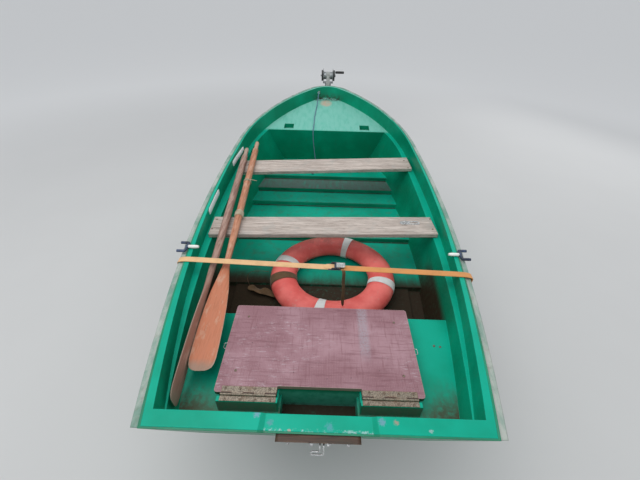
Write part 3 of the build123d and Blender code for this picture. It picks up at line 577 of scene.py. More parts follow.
def linerFinish():
    look = linerLook
    finish = Finish("linerGelcoat")
    x, y, z = finish.axes()
    station = y - sternY
    height = z - ledgeZ
    up = finish.facing().step(0.55, 0.92)
    cloud = finish.noise(0.3, 5)
    fine = finish.noise(0.02, 7, 0.65)
    streaks = finish.noise(0.03, 6, 0.65, finish.place(scale=(1, 0.18, 1)))
    tone = finish.mix(cloud.step(0.34, 0.68), look["deep"], look["bright"])
    # upward faces are painted a lighter green: painted light from above
    tone = finish.mix(up * cloud.step(0.3, 0.7, 0.55, 0.95), tone, look["paintedTopLight"])
    # ledge and cap edges are painted bright: partly rubbed wear, partly a painted highlight
    rubbedAndLitEdges = finish.edges(0.009) * fine.step(0.3, 0.55)
    tone = finish.mix(rubbedAndLitEdges * 0.5, tone, look["rim"])
    # chalky bow seat, its patches drawn fore and aft
    bow = station.step(2.45, 2.5) * up * height.step(0.1, 0.13)
    tone = finish.mix(bow * streaks.step(0.25, 0.6, 0.62, 1.0), tone, look["faded"])
    # a pink disc on it, and mud in its foremost corner
    discX, discStation, discSize = look["disc"]
    square = squareFrom(x, station, discX, discStation)
    away = finish.node("ShaderNodeMath", {"operation": "POWER"}, {0: square, 1: 0.5})
    disc = (1 - (away + fine * 0.02).step(discSize * 0.6, discSize * 1.15)) * bow
    tone = finish.mix(disc * fine.step(0.3, 0.6, 0.2, 0.7), tone, look["bloom"])
    corner = station.step(2.98, 3.03) * (1 - height.step(0.27, 0.34)) * up.step(0, 1, 0.75, 1.0)
    tone = finish.mix(corner * fine.step(0.32, 0.6), tone, look["mud"])
    # floor: a grey tread forward, scuffed green amidships, mud aft, thickest to port
    floor = up * (1 - height.step(-0.162, -0.15))
    tread = floor * station.step(2.005, 2.015) * (1 - station.step(2.185, 2.195))
    tone = finish.mix(tread * streaks.step(0.25, 0.55, 0.55, 0.95), tone, look["tread"])
    worn = floor * finish.noise(0.05, 7, 0.7).step(0.48, 0.72) * 0.35
    tone = finish.mix(worn, tone, look["stain"])
    aft = (1 - (station + streaks * 0.08).step(0.955, 1.12)) * floor
    tone = finish.mix(aft * fine.step(0.2, 0.5, 0.7, 1.0), tone, look["mud"])
    port = floor * (-0.27 - x + streaks * 0.12).step(0.0, 0.14) * (1 - station.step(0.95, 1.15))
    tone = finish.mix(port, tone, look["mud"])
    # the splash of the same mud on the well's walls
    splash = (1 - up) * (1 - (height + streaks * 0.12).step(-0.2, -0.08))
    splash = splash * (1 - station.step(0.9, 1.3)) * station.step(0.52, 0.54)
    tone = finish.mix(splash * fine.step(0.3, 0.6, 0.35, 0.95), tone, look["mud"])
    # dirt that stands in every step's corner
    for start in look["steps"]:
        line = abs(station - start + 0.006).step(0.004, 0.016)
        tone = finish.mix((1 - line) * floor * fine.step(0.25, 0.5, 0.5, 0.9), tone, look["mud"])
    # stern seat: brown water marks along the transom and in the sump
    seat = up * (1 - (station + streaks * 0.1).step(0.1, 0.22))
    seat = seat * (1 - height.step(-0.07, -0.05)) * height.step(-0.1, -0.095)
    tone = finish.mix(seat * fine.step(0.3, 0.6, 0.4, 0.9), tone, look["stain"])
    corners = up * abs(x).step(0.37, 0.48) * (1 - (station + streaks * 0.12).step(0.13, 0.32))
    corners = corners * (1 - height.step(-0.07, -0.05))
    tone = finish.mix(corners * fine.step(0.25, 0.6, 0.35, 0.9), tone, look["grime"])
    sump = (1 - (height + streaks * 0.02).step(-0.142, -0.128)) * (1 - station.step(0.15, 0.16))
    sump = sump * height.step(-0.3, -0.28)
    tone = finish.mix(sump * fine.step(0.15, 0.45, 0.5, 0.9), tone, look["mud"])
    # the pockets beside the floor, where silt stands
    pocket = abs(x).step(0.36, 0.46) * (1 - (station + streaks * 0.1).step(0.94, 1.14))
    pocket = pocket * (1 - height.step(-0.14, -0.07))
    tone = finish.mix(pocket * station.step(0.546, 0.55) * fine.step(0.25, 0.5, 0.7, 1.0), tone, look["mud"])
    # runs of dirt down the sides
    runs = finish.noise(0.014, 5, 0.6, finish.place(scale=(1, 1, 0.06))).step(0.56, 0.72)
    walls = (1 - up) * (1 - height.step(0.02, 0.16)) * 0.16
    tone = finish.mix(runs * walls, tone, look["stain"])
    # the transom cap: chips, and a lower edge knocked down to white
    cap = (1 - station.step(0.0, 0.02)) * height.step(0.03, 0.05)
    ragged = finish.noise(0.007, 5, 0.7)
    for chipX, chipStation, size, shade in look["chips"]:
        spread = squareFrom(x, station, chipX, chipStation) / (size * size) + ragged * 3.2
        tone = finish.mix(cap * (1 - spread.step(1.5, 2.5)) * 0.8, tone, shade)
    front = cap * (1 - station.step(-0.042, -0.036)) * (1 - abs(x).step(0.17, 0.175))
    knocked = front * finish.noise(0.02, 6, 0.7).step(0.51, 0.6) * 0.7
    tone = finish.mix(knocked, tone, look["knocked"])
    # the wall under the notch faces aft into shade and is painted paler: painted light
    riser = (1 - up) * station.step(0.1, 0.12) * (1 - station.step(0.19, 0.22)) * (1 - abs(x).step(0.17, 0.2))
    paintedLitWall = riser * (1 - height.step(-0.075, -0.045))
    tone = finish.mix(paintedLitWall * streaks.step(0.3, 0.6, 0.3, 0.7), tone, look["paintedLitWall"])
    # the coaming beside it is grey with what runs off the cap
    coaming = (1 - up) * station.step(0.07, 0.076) * (1 - station.step(0.1, 0.11)) * abs(x).step(0.15, 0.16)
    coaming = coaming * (1 - abs(x).step(0.42, 0.46)) * (1 - height.step(-0.035, -0.025))
    tone = finish.mix(coaming * streaks.step(0.3, 0.6, 0.5, 0.85), tone, look["runOff"])
    lengthwise = finish.place(scale=(1, 0.08, 1), turn=(0, 0, 0.25))
    scratch = finish.noise(0.012, 8, 0.8, lengthwise).step(0.68, 0.73)
    tone = finish.mix(scratch * 0.28, tone, look["faded"])
    dirty = worn + aft + port + seat * 0.6
    rough = fine.step(0.3, 0.8, 0.32, 0.5) + bow * 0.2 + dirty * 0.35
    skin = finish.bump(finish.noise(0.009, 3), 0.2, 0.0006, finish.rounded(0.005))
    lumps = finish.bump(fine * (aft + port + corner), 0.7, 0.004, skin)
    return finish.surface(Base_Color=tone, Roughness=rough, Normal=lumps, Specular_IOR_Level=0.2)


# Hull: a deeper green, chalked, scraped along the bottom and marked by standing water

hullLook = {
    "deep": fromScreen(0, 118, 84),
    "bright": fromScreen(10, 144, 106),
    "chalk": fromScreen(120, 172, 152),
    "runs": fromScreen(84, 92, 74),
    "scraped": fromScreen(150, 160, 148),
    "waterMark": fromScreen(96, 98, 72),
    "waterLine": 0.17,  # below the seat ledge
}


def hullFinish():
    look = hullLook
    finish = Finish("hullGelcoat")
    z = finish.axes()[2]
    fine = finish.noise(0.02, 7, 0.65)
    tone = finish.mix(finish.noise(0.35, 5).step(0.34, 0.68), look["deep"], look["bright"])
    chalk = finish.noise(0.08, 6, 0.6, finish.place(scale=(0.4, 0.4, 1))).step(0.45, 0.75)
    tone = finish.mix(chalk * 0.14, tone, look["chalk"])
    runs = finish.noise(0.016, 5, 0.6, finish.place(scale=(1, 1, 0.05))).step(0.52, 0.72)
    tone = finish.mix(runs * 0.3, tone, look["runs"])
    low = 1 - (z - ledgeZ).step(-0.3, -0.14)
    scraped = finish.noise(0.012, 8, 0.75, finish.place(scale=(1, 0.1, 1))).step(0.5, 0.66)
    tone = finish.mix(low * scraped * 0.7, tone, look["scraped"])
    wavy = abs(z - ledgeZ + look["waterLine"] + finish.noise(0.2) * 0.02)
    tone = finish.mix((1 - wavy.step(0.0, 0.012)) * 0.5, tone, look["waterMark"])
    rough = fine.step(0.3, 0.8, 0.28, 0.45) + low * 0.2 + chalk * 0.15
    skin = finish.bump(finish.noise(0.03, 3) + fine * 0.2, 0.15, 0.001, finish.rounded(0.004))
    return finish.surface(Base_Color=tone, Roughness=rough, Normal=skin)


# Lid: mauve paint rolled on plywood, with canvas-like cross lines, pale scuffs, specks and raw edges

lidLook = {
    "deep": fromScreen(142, 100, 108),
    "pale": fromScreen(168, 130, 138),
    "lines": fromScreen(176, 140, 144),
    "strokes": fromScreen(112, 66, 74),
    "crossed": fromScreen(120, 74, 80),
    "scuff": fromScreen(200, 184, 190),
    "band": fromScreen(160, 156, 164),
    "bandX": 0.19,
    "speck": fromScreen(40, 30, 32),
    "raw": fromScreen(168, 148, 128),
    # painted shade for the after edge's shadow line
    "green": fromScreen(20, 84, 60),
    "edge": fromScreen(198, 176, 160),
}


def lidFinish():
    look = lidLook
    finish = Finish("lidPlywood")
    x, y, _ = finish.axes()
    station = y - sternY
    fine = finish.noise(0.008, 7, 0.7)
    tone = finish.mix(finish.noise(0.18, 5).step(0.35, 0.66), look["deep"], look["pale"])
    lines = finish.wave(0.0065, "X", 0.6) * 0.5 + finish.wave(0.0065, "Y", 0.6) * 0.5
    tone = finish.mix(lines.step(0.45, 0.9) * fine.step(0.35, 0.6) * 0.5, tone, look["lines"])
    # brush strokes both ways
    strokes = finish.noise(0.010, 6, 0.7, finish.place(scale=(0.07, 1, 1))).step(0.5, 0.64)
    crossed = finish.noise(0.009, 6, 0.7, finish.place(scale=(1, 0.08, 1), shift=(4, 2, 0))).step(0.52, 0.66)
    tone = finish.mix(strokes * 0.5, tone, look["strokes"])
    tone = finish.mix(crossed * 0.42, tone, look["crossed"])
    scuff = finish.noise(0.012, 8, 0.8, finish.place(scale=(0.3, 1, 1))).step(0.52, 0.64)
    patches = finish.place(scale=(0.7, 1, 1), shift=(0.3, 0.1, 0))
    scuff = scuff * finish.noise(0.12, 3, 0.5, patches).step(0.46, 0.62)
    tone = finish.mix(scuff * 0.5, tone, look["scuff"])
    # a grey band fore and aft
    band = (1 - abs(x - look["bandX"] + fine * 0.01).step(0.012, 0.03)) * station.step(0.24, 0.34)
    tone = finish.mix(band * fine.step(0.3, 0.6) * 0.6, tone, look["band"])
    speck = finish.cells(0.035)
    tone = finish.mix((1 - speck.step(0.03, 0.07)) * fine.step(0.45, 0.5), tone, look["speck"])
    # raw plywood at the edges; the after one is painted dark green, a painted shadow line between lid and
    # hinge
    raw = 1 - finish.facing().step(0.1, 0.6)
    tone = finish.mix(raw * 0.75, tone, look["raw"])
    tone = finish.mix(raw * (1 - station.step(0.125, 0.15)), tone, look["green"])
    edge = finish.edges(0.0035) * fine.step(0.3, 0.5)
    tone = finish.mix(edge * 0.8, tone, look["edge"])
    paint = finish.bump(lines + fine * 0.6, 0.4, 0.0006, finish.rounded(0.002))
    return finish.surface(Base_Color=tone, Roughness=fine.step(0.2, 0.8, 0.5, 0.75), Normal=paint)


# Strake: rubbed plastic, pale from the sun, with green coming through

strakeLook = {
    "deep": fromScreen(118, 152, 138),
    "pale": fromScreen(176, 182, 174),
    "green": fromScreen(50, 140, 110),
    "grime": fromScreen(120, 118, 100),
}


def strakeFinish():
    look = strakeLook
    finish = Finish("strakeFaded")
    streaks = finish.noise(0.02, 7, 0.7, finish.place(scale=(0.3, 0.12, 1)))
    fine = finish.noise(0.01, 6, 0.7)
    tone = finish.mix(streaks.step(0.35, 0.65), look["deep"], look["pale"])
    tone = finish.mix(fine.step(0.6, 0.72) * 0.4, tone, look["green"])
    grime = finish.noise(0.05, 6, 0.7).step(0.52, 0.72)
    tone = finish.mix(grime * 0.45, tone, look["grime"])
    skin = finish.bump(streaks + fine * 0.4, 0.3, 0.0008, finish.rounded(0.006))
    return finish.surface(Base_Color=tone, Roughness=fine.step(0.3, 0.7, 0.55, 0.8), Normal=skin)


def oarFinish(name, look):
    # varnish worn through at grip, blade and tip
    finish = Finish(name)
    station = finish.axes()[1] - sternY
    along = finish.place(scale=(1, 0.05, 1), turn=(0, 0, 0.06))
    grain = finish.noise(0.008, 7, 0.65, along, warp=0.5)
    wear = finish.noise(0.04, 7, 0.7, finish.place(scale=(1, 0.35, 1)))
    tone = finish.mix(grain.step(0.32, 0.68), look["deep"], look["pale"])
    blade = 1 - station.step(look["bladeEnd"] - 0.08, look["bladeEnd"] + 0.05)
    tone = finish.mix(blade * grain.step(0.3, 0.7, 0.5, 0.95), tone, look["blade"])
    tone = finish.mix(wear.step(0.52, 0.66) * 0.45, tone, look["worn"])
    tip = 1 - (station + wear * 0.06).step(look["tip"] + 0.04, look["tip"] + 0.085)
    tone = finish.mix(tip * 0.7, tone, look["soil"])
    grip = (station + wear * 0.05).step(look["grip"] - 0.03, look["grip"] + 0.03)
    tone = finish.mix(grip * 0.6, tone, look["worn"])
    rim = finish.edges(0.0055) * blade
    tone = finish.mix(rim * 0.85, tone, look["raw"])
    skin = finish.bump(grain + wear * 0.3, 0.3, 0.0006)
    return finish.surface(Base_Color=tone, Roughness=wear.step(0.3, 0.7, 0.42, 0.72), Normal=skin)


# Lifebuoy's skin: salmon red, chalky scuffs, brown water stain on the side that lies forward

buoySkinLook = {
    "deep": fromScreen(226, 92, 86),
    "pale": fromScreen(246, 122, 114),
    "scuff": fromScreen(214, 150, 142),
    "stain": fromScreen(122, 78, 66),
    "foot": fromScreen(84, 60, 46),
}


def buoyFinish():
    look = buoySkinLook
    finish = Finish("buoyShell")
    _, y, z = finish.axes()
    fine = finish.noise(0.012, 7, 0.7)
    tone = finish.mix(finish.noise(0.12, 5).step(0.35, 0.68), look["deep"], look["pale"])
    scuff = finish.noise(0.04, 7, 0.75).step(0.56, 0.68)
    tone = finish.mix(scuff * 0.5, tone, look["scuff"])
    stain = (y - sternY + finish.noise(0.09) * 0.16).step(1.26, 1.38)
    tone = finish.mix(stain * fine.step(0.25, 0.6, 0.4, 0.85), tone, look["stain"])
    foot = 1 - (z - ledgeZ).step(-0.262, -0.235)
    tone = finish.mix(foot * fine.step(0.3, 0.55) * 0.7, tone, look["foot"])
    skin = finish.bump(fine + finish.noise(0.004, 3) * 0.3, 0.25, 0.0006)
    return finish.surface(Base_Color=tone, Roughness=fine.step(0.3, 0.75, 0.42, 0.62), Normal=skin)


# Painter: from its boss on the inner bow wall, over the bow seat and down to the floor

painterLook = {
    "points": [
        (-0.088, 3.030, 0.328), (-0.090, 2.988, 0.318), (-0.095, 2.950, 0.277), (-0.101, 2.893, 0.240),
        (-0.109, 2.790, 0.2128), (-0.117, 2.685, 0.1888), (-0.116, 2.590, 0.1684), (-0.119, 2.500, 0.163),
        (-0.120, 2.447, 0.143), (-0.119, 2.440, 0.088), (-0.112, 2.437, 0.010), (-0.102, 2.432, -0.068),
        (-0.095, 2.420, -0.128), (-0.093, 2.376, -0.1634), (-0.098, 2.300, -0.1634), (-0.110, 2.236, -0.1584),
    ],
    "diameter": 0.008,
    "length": 1.087,
    "strands": 3,
    "lobe": 0.00075,
    "pitch": 0.03,  # one turn of the strands
    "step": 0.0032,
    "around": 18,
    "pale": fromScreen(112, 148, 176),
    "deep": fromScreen(30, 58, 90),
    "soil": fromScreen(96, 92, 80),
}


def ropeFinish():
    look = painterLook
    finish = Finish("painterFibre")
    fibre = finish.noise(0.5, 5, 0.7, finish.own((400, 6, 1)))
    tone = finish.mix(fibre.step(0.35, 0.65), look["deep"], look["pale"])
    tone = finish.mix(finish.noise(0.05, 6).step(0.45, 0.7) * 0.35, tone, look["soil"])
    fuzz = finish.bump(fibre + finish.noise(0.0012, 3), 0.5, 0.0004)
    return finish.surface(Base_Color=tone, Roughness=0.9, Normal=fuzz, Sheen_Weight=0.2)


def evenPoints(points, step):
    # places a step apart along a line of points
    places = [points[0].copy()]
    left = step
    for before, after in zip(points, points[1:]):
        run = (after - before).length
        reach = left
        while reach <= run:
            places.append(before.lerp(after, reach / run))
            reach += step
        left = reach - run
    return places


def makePainter():
    look = painterLook
    begin()
    curve = bpy.data.curves.new("painterRoute", "CURVE")
    curve.dimensions = "3D"
    curve.resolution_u = 24
    spline = curve.splines.new("NURBS")
    spline.points.add(len(look["points"]) - 1)
    for point, place in zip(spline.points, look["points"]):
        point.co = (*boatPoint(*place), 1)
    spline.order_u = 3
    spline.use_endpoint_u = True
    holder = bpy.data.objects.new("painterRoute", curve)
    bpy.context.scene.collection.objects.link(holder)
    graph = bpy.context.evaluated_depsgraph_get()
    line = bpy.data.meshes.new_from_object(holder.evaluated_get(graph))
    route = evenPoints([vertex.co.copy() for vertex in line.vertices], look["step"])
    bpy.data.objects.remove(holder)
    # rings of three lobes that turn as they go
    side = Vector((1, 0, 0))
    rows = []
    for index, place in enumerate(route):
        ahead = (route[min(index + 1, len(route) - 1)] - route[max(index - 1, 0)]).normalized()
        side = (side - ahead * side.dot(ahead)).normalized()
        other = ahead.cross(side)
        twist = index * look["step"] / look["pitch"] * fullTurn
        row = []
        for spoke in range(look["around"]):
            angle = spoke / look["around"] * fullTurn
            hollow = (1 - math.cos(look["strands"] * (angle - twist))) / 2
            radius = look["diameter"] / 2 - look["lobe"] * hollow
            row.append(place + (side * math.cos(angle) + other * math.sin(angle)) * radius)
        rows.append(row)
    count = look["around"]
    faces = []
    for start in range(0, (len(rows) - 1) * count, count):
        for spoke in range(count):
            onward = (spoke + 1) % count
            faces.append([start + spoke, start + onward, start + count + onward, start + count + spoke])
    last = (len(rows) - 1) * count
    faces += [list(reversed(range(count))), list(range(last, last + count))]
    mesh = bpy.data.meshes.new("painterRope")
    mesh.from_pydata([place for row in rows for place in row], [], faces)
    uv = mesh.uv_layers.new(name="along")
    for face in mesh.polygons:
        spokes = [mesh.loops[loop].vertex_index % count for loop in face.loop_indices]
        seam = max(spokes) == count - 1 and min(spokes) == 0
        for loop, spoke in zip(face.loop_indices, spokes):
            row = mesh.loops[loop].vertex_index // count
            turned = spoke + count if seam and spoke == 0 else spoke
            twist = row * look["step"] / look["pitch"]
            uv.data[loop].uv = (row * look["step"], turned / count - twist)
    rope = bpy.data.objects.new("painterRope", mesh)
    bpy.context.scene.collection.objects.link(rope)
    closeUp(rope)
    dress(rope, boat, ropeMaterial, 60)
    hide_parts("painter_rope")
    knot = makeKnot(route[-1], (route[-1] - route[-8]).normalized())


knotLook = {
    "turns": ((0.004, 0.25), (0.0095, -0.2), (0.015, 0.3)),  # place along the end, tilt
    "radius": 0.0050, "rope": 0.0037,
    "core": 0.0042, "long": 0.019,
    "strands": 9, "strandRadius": 0.0009, "strandTip": 0.0003, "strandLong": 0.004,
    "strandsOut": 0.0024, "strandsUp": 0.0205, "lean": 0.35,
}


def makeKnot(end, ahead):
    # three turns round the end, and a short frayed tail
    look = knotLook
    parts = []
    for along, tilt in look["turns"]:
        parts.append(torus("painterTurn", look["radius"], look["rope"], 28, 12, (0, 0, along),
                           (tilt, tilt * 0.6, 0)))
    core = roundBar("painterCore", look["core"], look["long"], (0, 0, look["long"] / 2), corners=16)
    pick(core, lambda face: face.normal.z > 0.9)
    bpy.ops.mesh.inset(thickness=0.001)
    extrude((0.0006, 0, 0.0022))
    bpy.ops.transform.resize(value=(1.2, 0.8, 1))
    leave()
    parts.append(core)
    for index in range(look["strands"]):
        angle = index * 0.7
        out, lean = look["strandsOut"], look["lean"]
        begin()
        bpy.ops.mesh.primitive_cone_add(
            vertices=5, radius1=look["strandRadius"], radius2=look["strandTip"], depth=look["strandLong"],
            location=(out * math.cos(angle), out * math.sin(angle), look["strandsUp"]),
            rotation=(lean * math.sin(angle), lean * math.cos(angle), 0))
        fray = started("painterFray")
        settle(fray)
        parts.append(fray)
    knot = joined("painterKnot", parts)
    knot.matrix_world = facingMatrix(end, ahead)
    dress(knot, boat, knotMaterial, 60)
    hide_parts("painter_knot")
    return knot


ropeMaterial = ropeFinish()
knotMaterial = wovenBand("painterKnotFibre", {
    "rib": "Z", "thread": "X", "pale": fromScreen(120, 148, 172), "deep": fromScreen(44, 66, 92),
    "dust": 0.5, "soil": fromScreen(96, 92, 80),
})
makePainter()
print("painter made")


# Finishes of the carried-over nodes

zincLook = {
    "flake": 0.011,
    "deep": fromScreen(128, 133, 136), "pale": fromScreen(168, 173, 175), "bloom": fromScreen(186, 188, 186),
    "rust": 0.35, "rough": 0.42, "metal": 0.75,
}
rustyLook = {
    "flake": 0.0045,
    "deep": fromScreen(108, 98, 88), "pale": fromScreen(158, 146, 130), "bloom": fromScreen(134, 104, 80),
    "rust": 0.9, "rough": 0.5, "metal": 0.6,
}
brightLook = {
    "flake": 0.006,
    "deep": fromScreen(176, 178, 179), "pale": fromScreen(228, 230, 230), "bloom": fromScreen(206, 202, 194),
    "rust": 0.15, "rough": 0.25, "metal": 0.95,
}
silverLook = {
    "flake": 0.004,
    "deep": fromScreen(168, 170, 170), "pale": fromScreen(196, 198, 198), "bloom": fromScreen(150, 138, 124),
    "rust": 0.8, "rough": 0.35, "metal": 0.45,
}
castLook = {
    "flake": 0.004,
    "deep": fromScreen(70, 73, 76), "pale": fromScreen(96, 99, 102), "bloom": fromScreen(124, 120, 112),
    "rust": 0.9, "rough": 0.45, "metal": 0.2,
}
thwartLook = {
    "stretch": (0.055, 1, 1), "turn": -0.05, "crackStretch": (0.03, 1, 1), "dark": fromScreen(156, 142, 132),
    "pale": fromScreen(212, 200, 190), "line": fromScreen(104, 90, 80), "soil": fromScreen(168, 166, 160),
    "bare": fromScreen(222, 212, 200), "patch": 0.6, "wear": 0.6, "rough": 0.68,
}
padLook = {
    "stretch": (0.06, 1, 1), "turn": 0.0, "crackStretch": (0.03, 1, 1), "dark": fromScreen(54, 36, 26),
    "pale": fromScreen(92, 64, 46), "line": fromScreen(24, 16, 12), "soil": fromScreen(60, 62, 46),
    "bare": fromScreen(150, 124, 100), "patch": 0.5, "wear": 0.8, "rough": 0.42,
}
blackLook = {
    "cloud": 0.06, "deep": fromScreen(26, 27, 29), "pale": fromScreen(48, 49, 51),
    "dust": 0.4, "soil": fromScreen(120, 114, 104), "wear": 0.5, "bare": fromScreen(92, 92, 92),
    "rough": 0.45, "grain": 0.0012,
}
navyLook = {
    "cloud": 0.05, "deep": fromScreen(22, 30, 52), "pale": fromScreen(62, 84, 120),
    "dust": 0.25, "soil": fromScreen(120, 118, 112), "wear": 0.5, "bare": fromScreen(96, 108, 132),
    "rough": 0.38, "grain": 0.0015,
}
pinLook = {
    "cloud": 0.04, "deep": fromScreen(234, 234, 228), "pale": fromScreen(250, 250, 246),
    "dust": 0.15, "soil": fromScreen(170, 160, 140), "wear": 0.25, "bare": fromScreen(170, 158, 140),
    "rough": 0.42, "grain": 0.0015,
}
rubberLook = {
    "deep": fromScreen(34, 34, 34), "pale": fromScreen(58, 57, 55),
    "dust": 0.6, "soil": fromScreen(118, 108, 94),
}
carpetLook = {
    "rib": "X", "thread": "Y", "pale": fromScreen(66, 70, 80), "deep": fromScreen(36, 40, 50),
    "dust": 0.5, "soil": fromScreen(104, 96, 84),
}
winchLook = {
    "rib": "X", "thread": "Z", "pale": fromScreen(176, 180, 176), "deep": fromScreen(124, 128, 126),
    "dust": 0.4, "soil": fromScreen(110, 104, 96),
}
bandLook = {
    "rib": "X", "thread": "Y", "pale": fromScreen(230, 230, 228), "deep": fromScreen(200, 200, 198),
    "dust": 0.4, "soil": fromScreen(160, 144, 126),
}
tieLook = {
    "rib": "Y", "thread": "X", "pale": fromScreen(236, 194, 144), "deep": fromScreen(206, 156, 104),
    "dust": 0.3, "soil": fromScreen(150, 120, 84), "other": fromScreen(214, 146, 80),
    "otherFrom": 0.082,  # x where the other half begins
}
oliveLook = {
    "rib": "X", "thread": "Y", "pale": fromScreen(112, 82, 50), "deep": fromScreen(72, 52, 30),
    "dust": 0.5, "soil": fromScreen(60, 48, 34),
}
innerOarLook = {
    "deep": fromScreen(160, 98, 66), "pale": fromScreen(204, 146, 116), "blade": fromScreen(190, 112, 78),
    "worn": fromScreen(200, 172, 150), "raw": fromScreen(186, 170, 154), "soil": fromScreen(142, 126, 110),
    "bladeEnd": 0.81, "tip": 0.19, "grip": 2.06,  # stations
}
outerOarLook = {
    "deep": fromScreen(126, 92, 80), "pale": fromScreen(178, 146, 132), "blade": fromScreen(150, 108, 94),
    "worn": fromScreen(190, 166, 150), "raw": fromScreen(206, 192, 172), "soil": fromScreen(142, 126, 110),
    "bladeEnd": 0.68, "tip": 0.06, "grip": 1.95,  # stations
}

hullMaterial = hullFinish()
linerMaterial = linerFinish()
lidMaterial = lidFinish()
strakeMaterial = strakeFinish()
buoyMaterial = buoyFinish()
zincMaterial = zincMetal("galvanisedSteel", zincLook)
rustyMaterial = zincMetal("rustyHinge", rustyLook)
brightMaterial = zincMetal("brightRod", brightLook)
silverMaterial = zincMetal("silverRim", silverLook)
castMaterial = zincMetal("castHub", castLook)
woodMaterial = rawWood("thwartWood", thwartLook)
padMaterial = rawWood("motorPadWood", padLook)
blackMaterial = agedPlastic("blackPlastic", blackLook)
navyMaterial = agedPlastic("rowlockPlastic", navyLook)
pinMaterial = agedPlastic("rowlockPin", pinLook)
rubberMaterial = blackRubber("tyreRubber", rubberLook)
carpetMaterial = wovenBand("bunkCarpet", carpetLook)
webbingMaterial = wovenBand("winchWebbing", winchLook)
bandMaterial = wovenBand("buoyBand", bandLook)
tieMaterial = wovenBand("tieStrap", tieLook)
oliveMaterial = wovenBand("oliveStrap", oliveLook)
innerOarMaterial = oarFinish("innerOarVarnish", innerOarLook)
outerOarMaterial = oarFinish("outerOarVarnish", outerOarLook)

for nodeNames, material in (
    (("hull_shell", "keel"), hullMaterial),
    (("inner_liner",), linerMaterial),
    (("rub_strake",), strakeMaterial),
    (("thwart_middle", "thwart_forward"), woodMaterial),
    (("locker_lid",), lidMaterial),
    (("hinge_leaves_fixed", "hinge_leaves_moving", "hinge_pins"), rustyMaterial),
    (("locker_rings", "thwart_fitting", "bow_eye", "transom_eye"), brightMaterial),
    (("motor_pad",), padMaterial),
    (("spine_beam", "cross_member_aft", "cross_member_fore", "axle_beam", "axle_arms", "mudguard_brackets",
      "roller_brackets", "roller_pins", "bunk_posts", "winch_post", "bow_stop_arm", "winch_frame",
      "winch_crank", "winch_drum", "jockey_clamp", "jockey_outer_tube", "jockey_inner_tube",
      "jockey_handle", "jockey_fork"), zincMaterial),
    (("wheel_rim_port", "wheel_rim_starboard"), silverMaterial),
    (("wheel_hub_port", "wheel_hub_starboard", "coupling_head", "coupling_lever"), castMaterial),
    (("tyre_port", "tyre_starboard", "jockey_wheel", "keel_rollers", "bow_stop"), rubberMaterial),
    (("mudguard_port", "mudguard_starboard", "winch_cheeks"), blackMaterial),
    (("side_bunks",), carpetMaterial),
    (("winch_strap",), webbingMaterial),
    (("rowlock_horns",), navyMaterial),
    (("rowlock_pins",), pinMaterial),
    (("lifebuoy",), buoyMaterial),
    (("lifebuoy_bands",), bandMaterial),
    (("tie_strap",), tieMaterial),
    (("strap_buckle",), castMaterial),
    (("oar_inner",), innerOarMaterial),
    (("oar_outer",), outerOarMaterial),
):
    for nodeName in nodeNames:
        paintNode(nodeName, material)
print("nodes painted")


# Lifebuoy: an oval ring with its moulding seam, and four bands

buoyLook = {
    "x": 0.060, "station": 0.972, "height": -0.2237,
    "middle": 0.294, "across": 0.078, "tall": 0.054,
    "steps": 112, "around": 36,
    "seam": 0.0012, "press": 0.0022, "dent": 0.0016, "dentSize": 0.07,
    "bands": (80, 172, 266, 354),  # degrees round the ring
    "bandWidth": 0.048, "bandLift": 0.0016, "bandRipple": 0.0009,
    "webbing": 0.0011, "foldSize": 0.022,
}


def ringSection(lift):
    # the ring's oval section, drawn beyond its axis
    look = buoyLook
    points = []
    for index in range(look["around"]):
        angle = index / look["around"] * fullTurn
        radial = (look["across"] + lift) * math.cos(angle)
        up = (look["tall"] + lift) * math.sin(angle)
        if index in (0, look["around"] // 2) and lift == 0:
            radial += math.copysign(look["seam"], radial)
        points.append((look["middle"] + radial, 0, up))
    return points


def onBuoySeam(edge):
    # the short edges in the ring's middle plane
    level = edgeRun(edge, 2) < 1e-6 and abs(edge.verts[0].co.z) < 0.0001
    return level and abs(edge.calc_length() - 0.0165) < 0.004


def makeBuoy():
    look = buoyLook
    stand = Matrix.Translation(boatPoint(look["x"], look["station"], look["height"]))
    ring = drawn("lifebuoyRing", ringSection(0.0), closed=True)
    spun(ring, look["steps"], (0, 0, 1))
    # a shallow press mark round the inner and outer shoulder
    pick(ring, onBuoySeam, "EDGE")
    bpy.ops.mesh.bevel(offset=look["press"], segments=2)
    leave()
    lumpy(ring, "buoyDents", look["dentSize"], look["dent"], 0.85)
    ring.matrix_world = stand
    dress(ring, boat, buoyMaterial, 50)
    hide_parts("lifebuoy")
    bands = []
    for turn in look["bands"]:
        bands.append(ringBand("buoyBand", turn, look["bandWidth"], look["bandLift"], look["bandRipple"]))
    wraps = joined("lifebuoyBands", bands)
    wraps.matrix_world = stand
    dress(wraps, boat, bandMaterial, 50)
    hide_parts("lifebuoy_bands")


def ringBand(name, turn, width, lift, ripple):
    # webbing round the ring's section, its edges a little uneven
    look = buoyLook
    sweep = width / look["middle"]
    band = drawn(name, ringSection(lift), closed=True)
    band.rotation_euler = (0, 0, math.radians(turn) - sweep / 2)
    settle(band)
    spun(band, 6, (0, 0, 1), sweep)
    cutUp(band, lambda face: True, "FACE", 1)
    lumpy(band, name + "Folds", look["foldSize"], ripple)
    shape(band, "SOLIDIFY", thickness=look["webbing"], offset=1.0)
    return softened(band, 0.0003)


makeBuoy()
print("lifebuoy made")


# Olive strap tied round the buoy, its tail crumpled on the floor

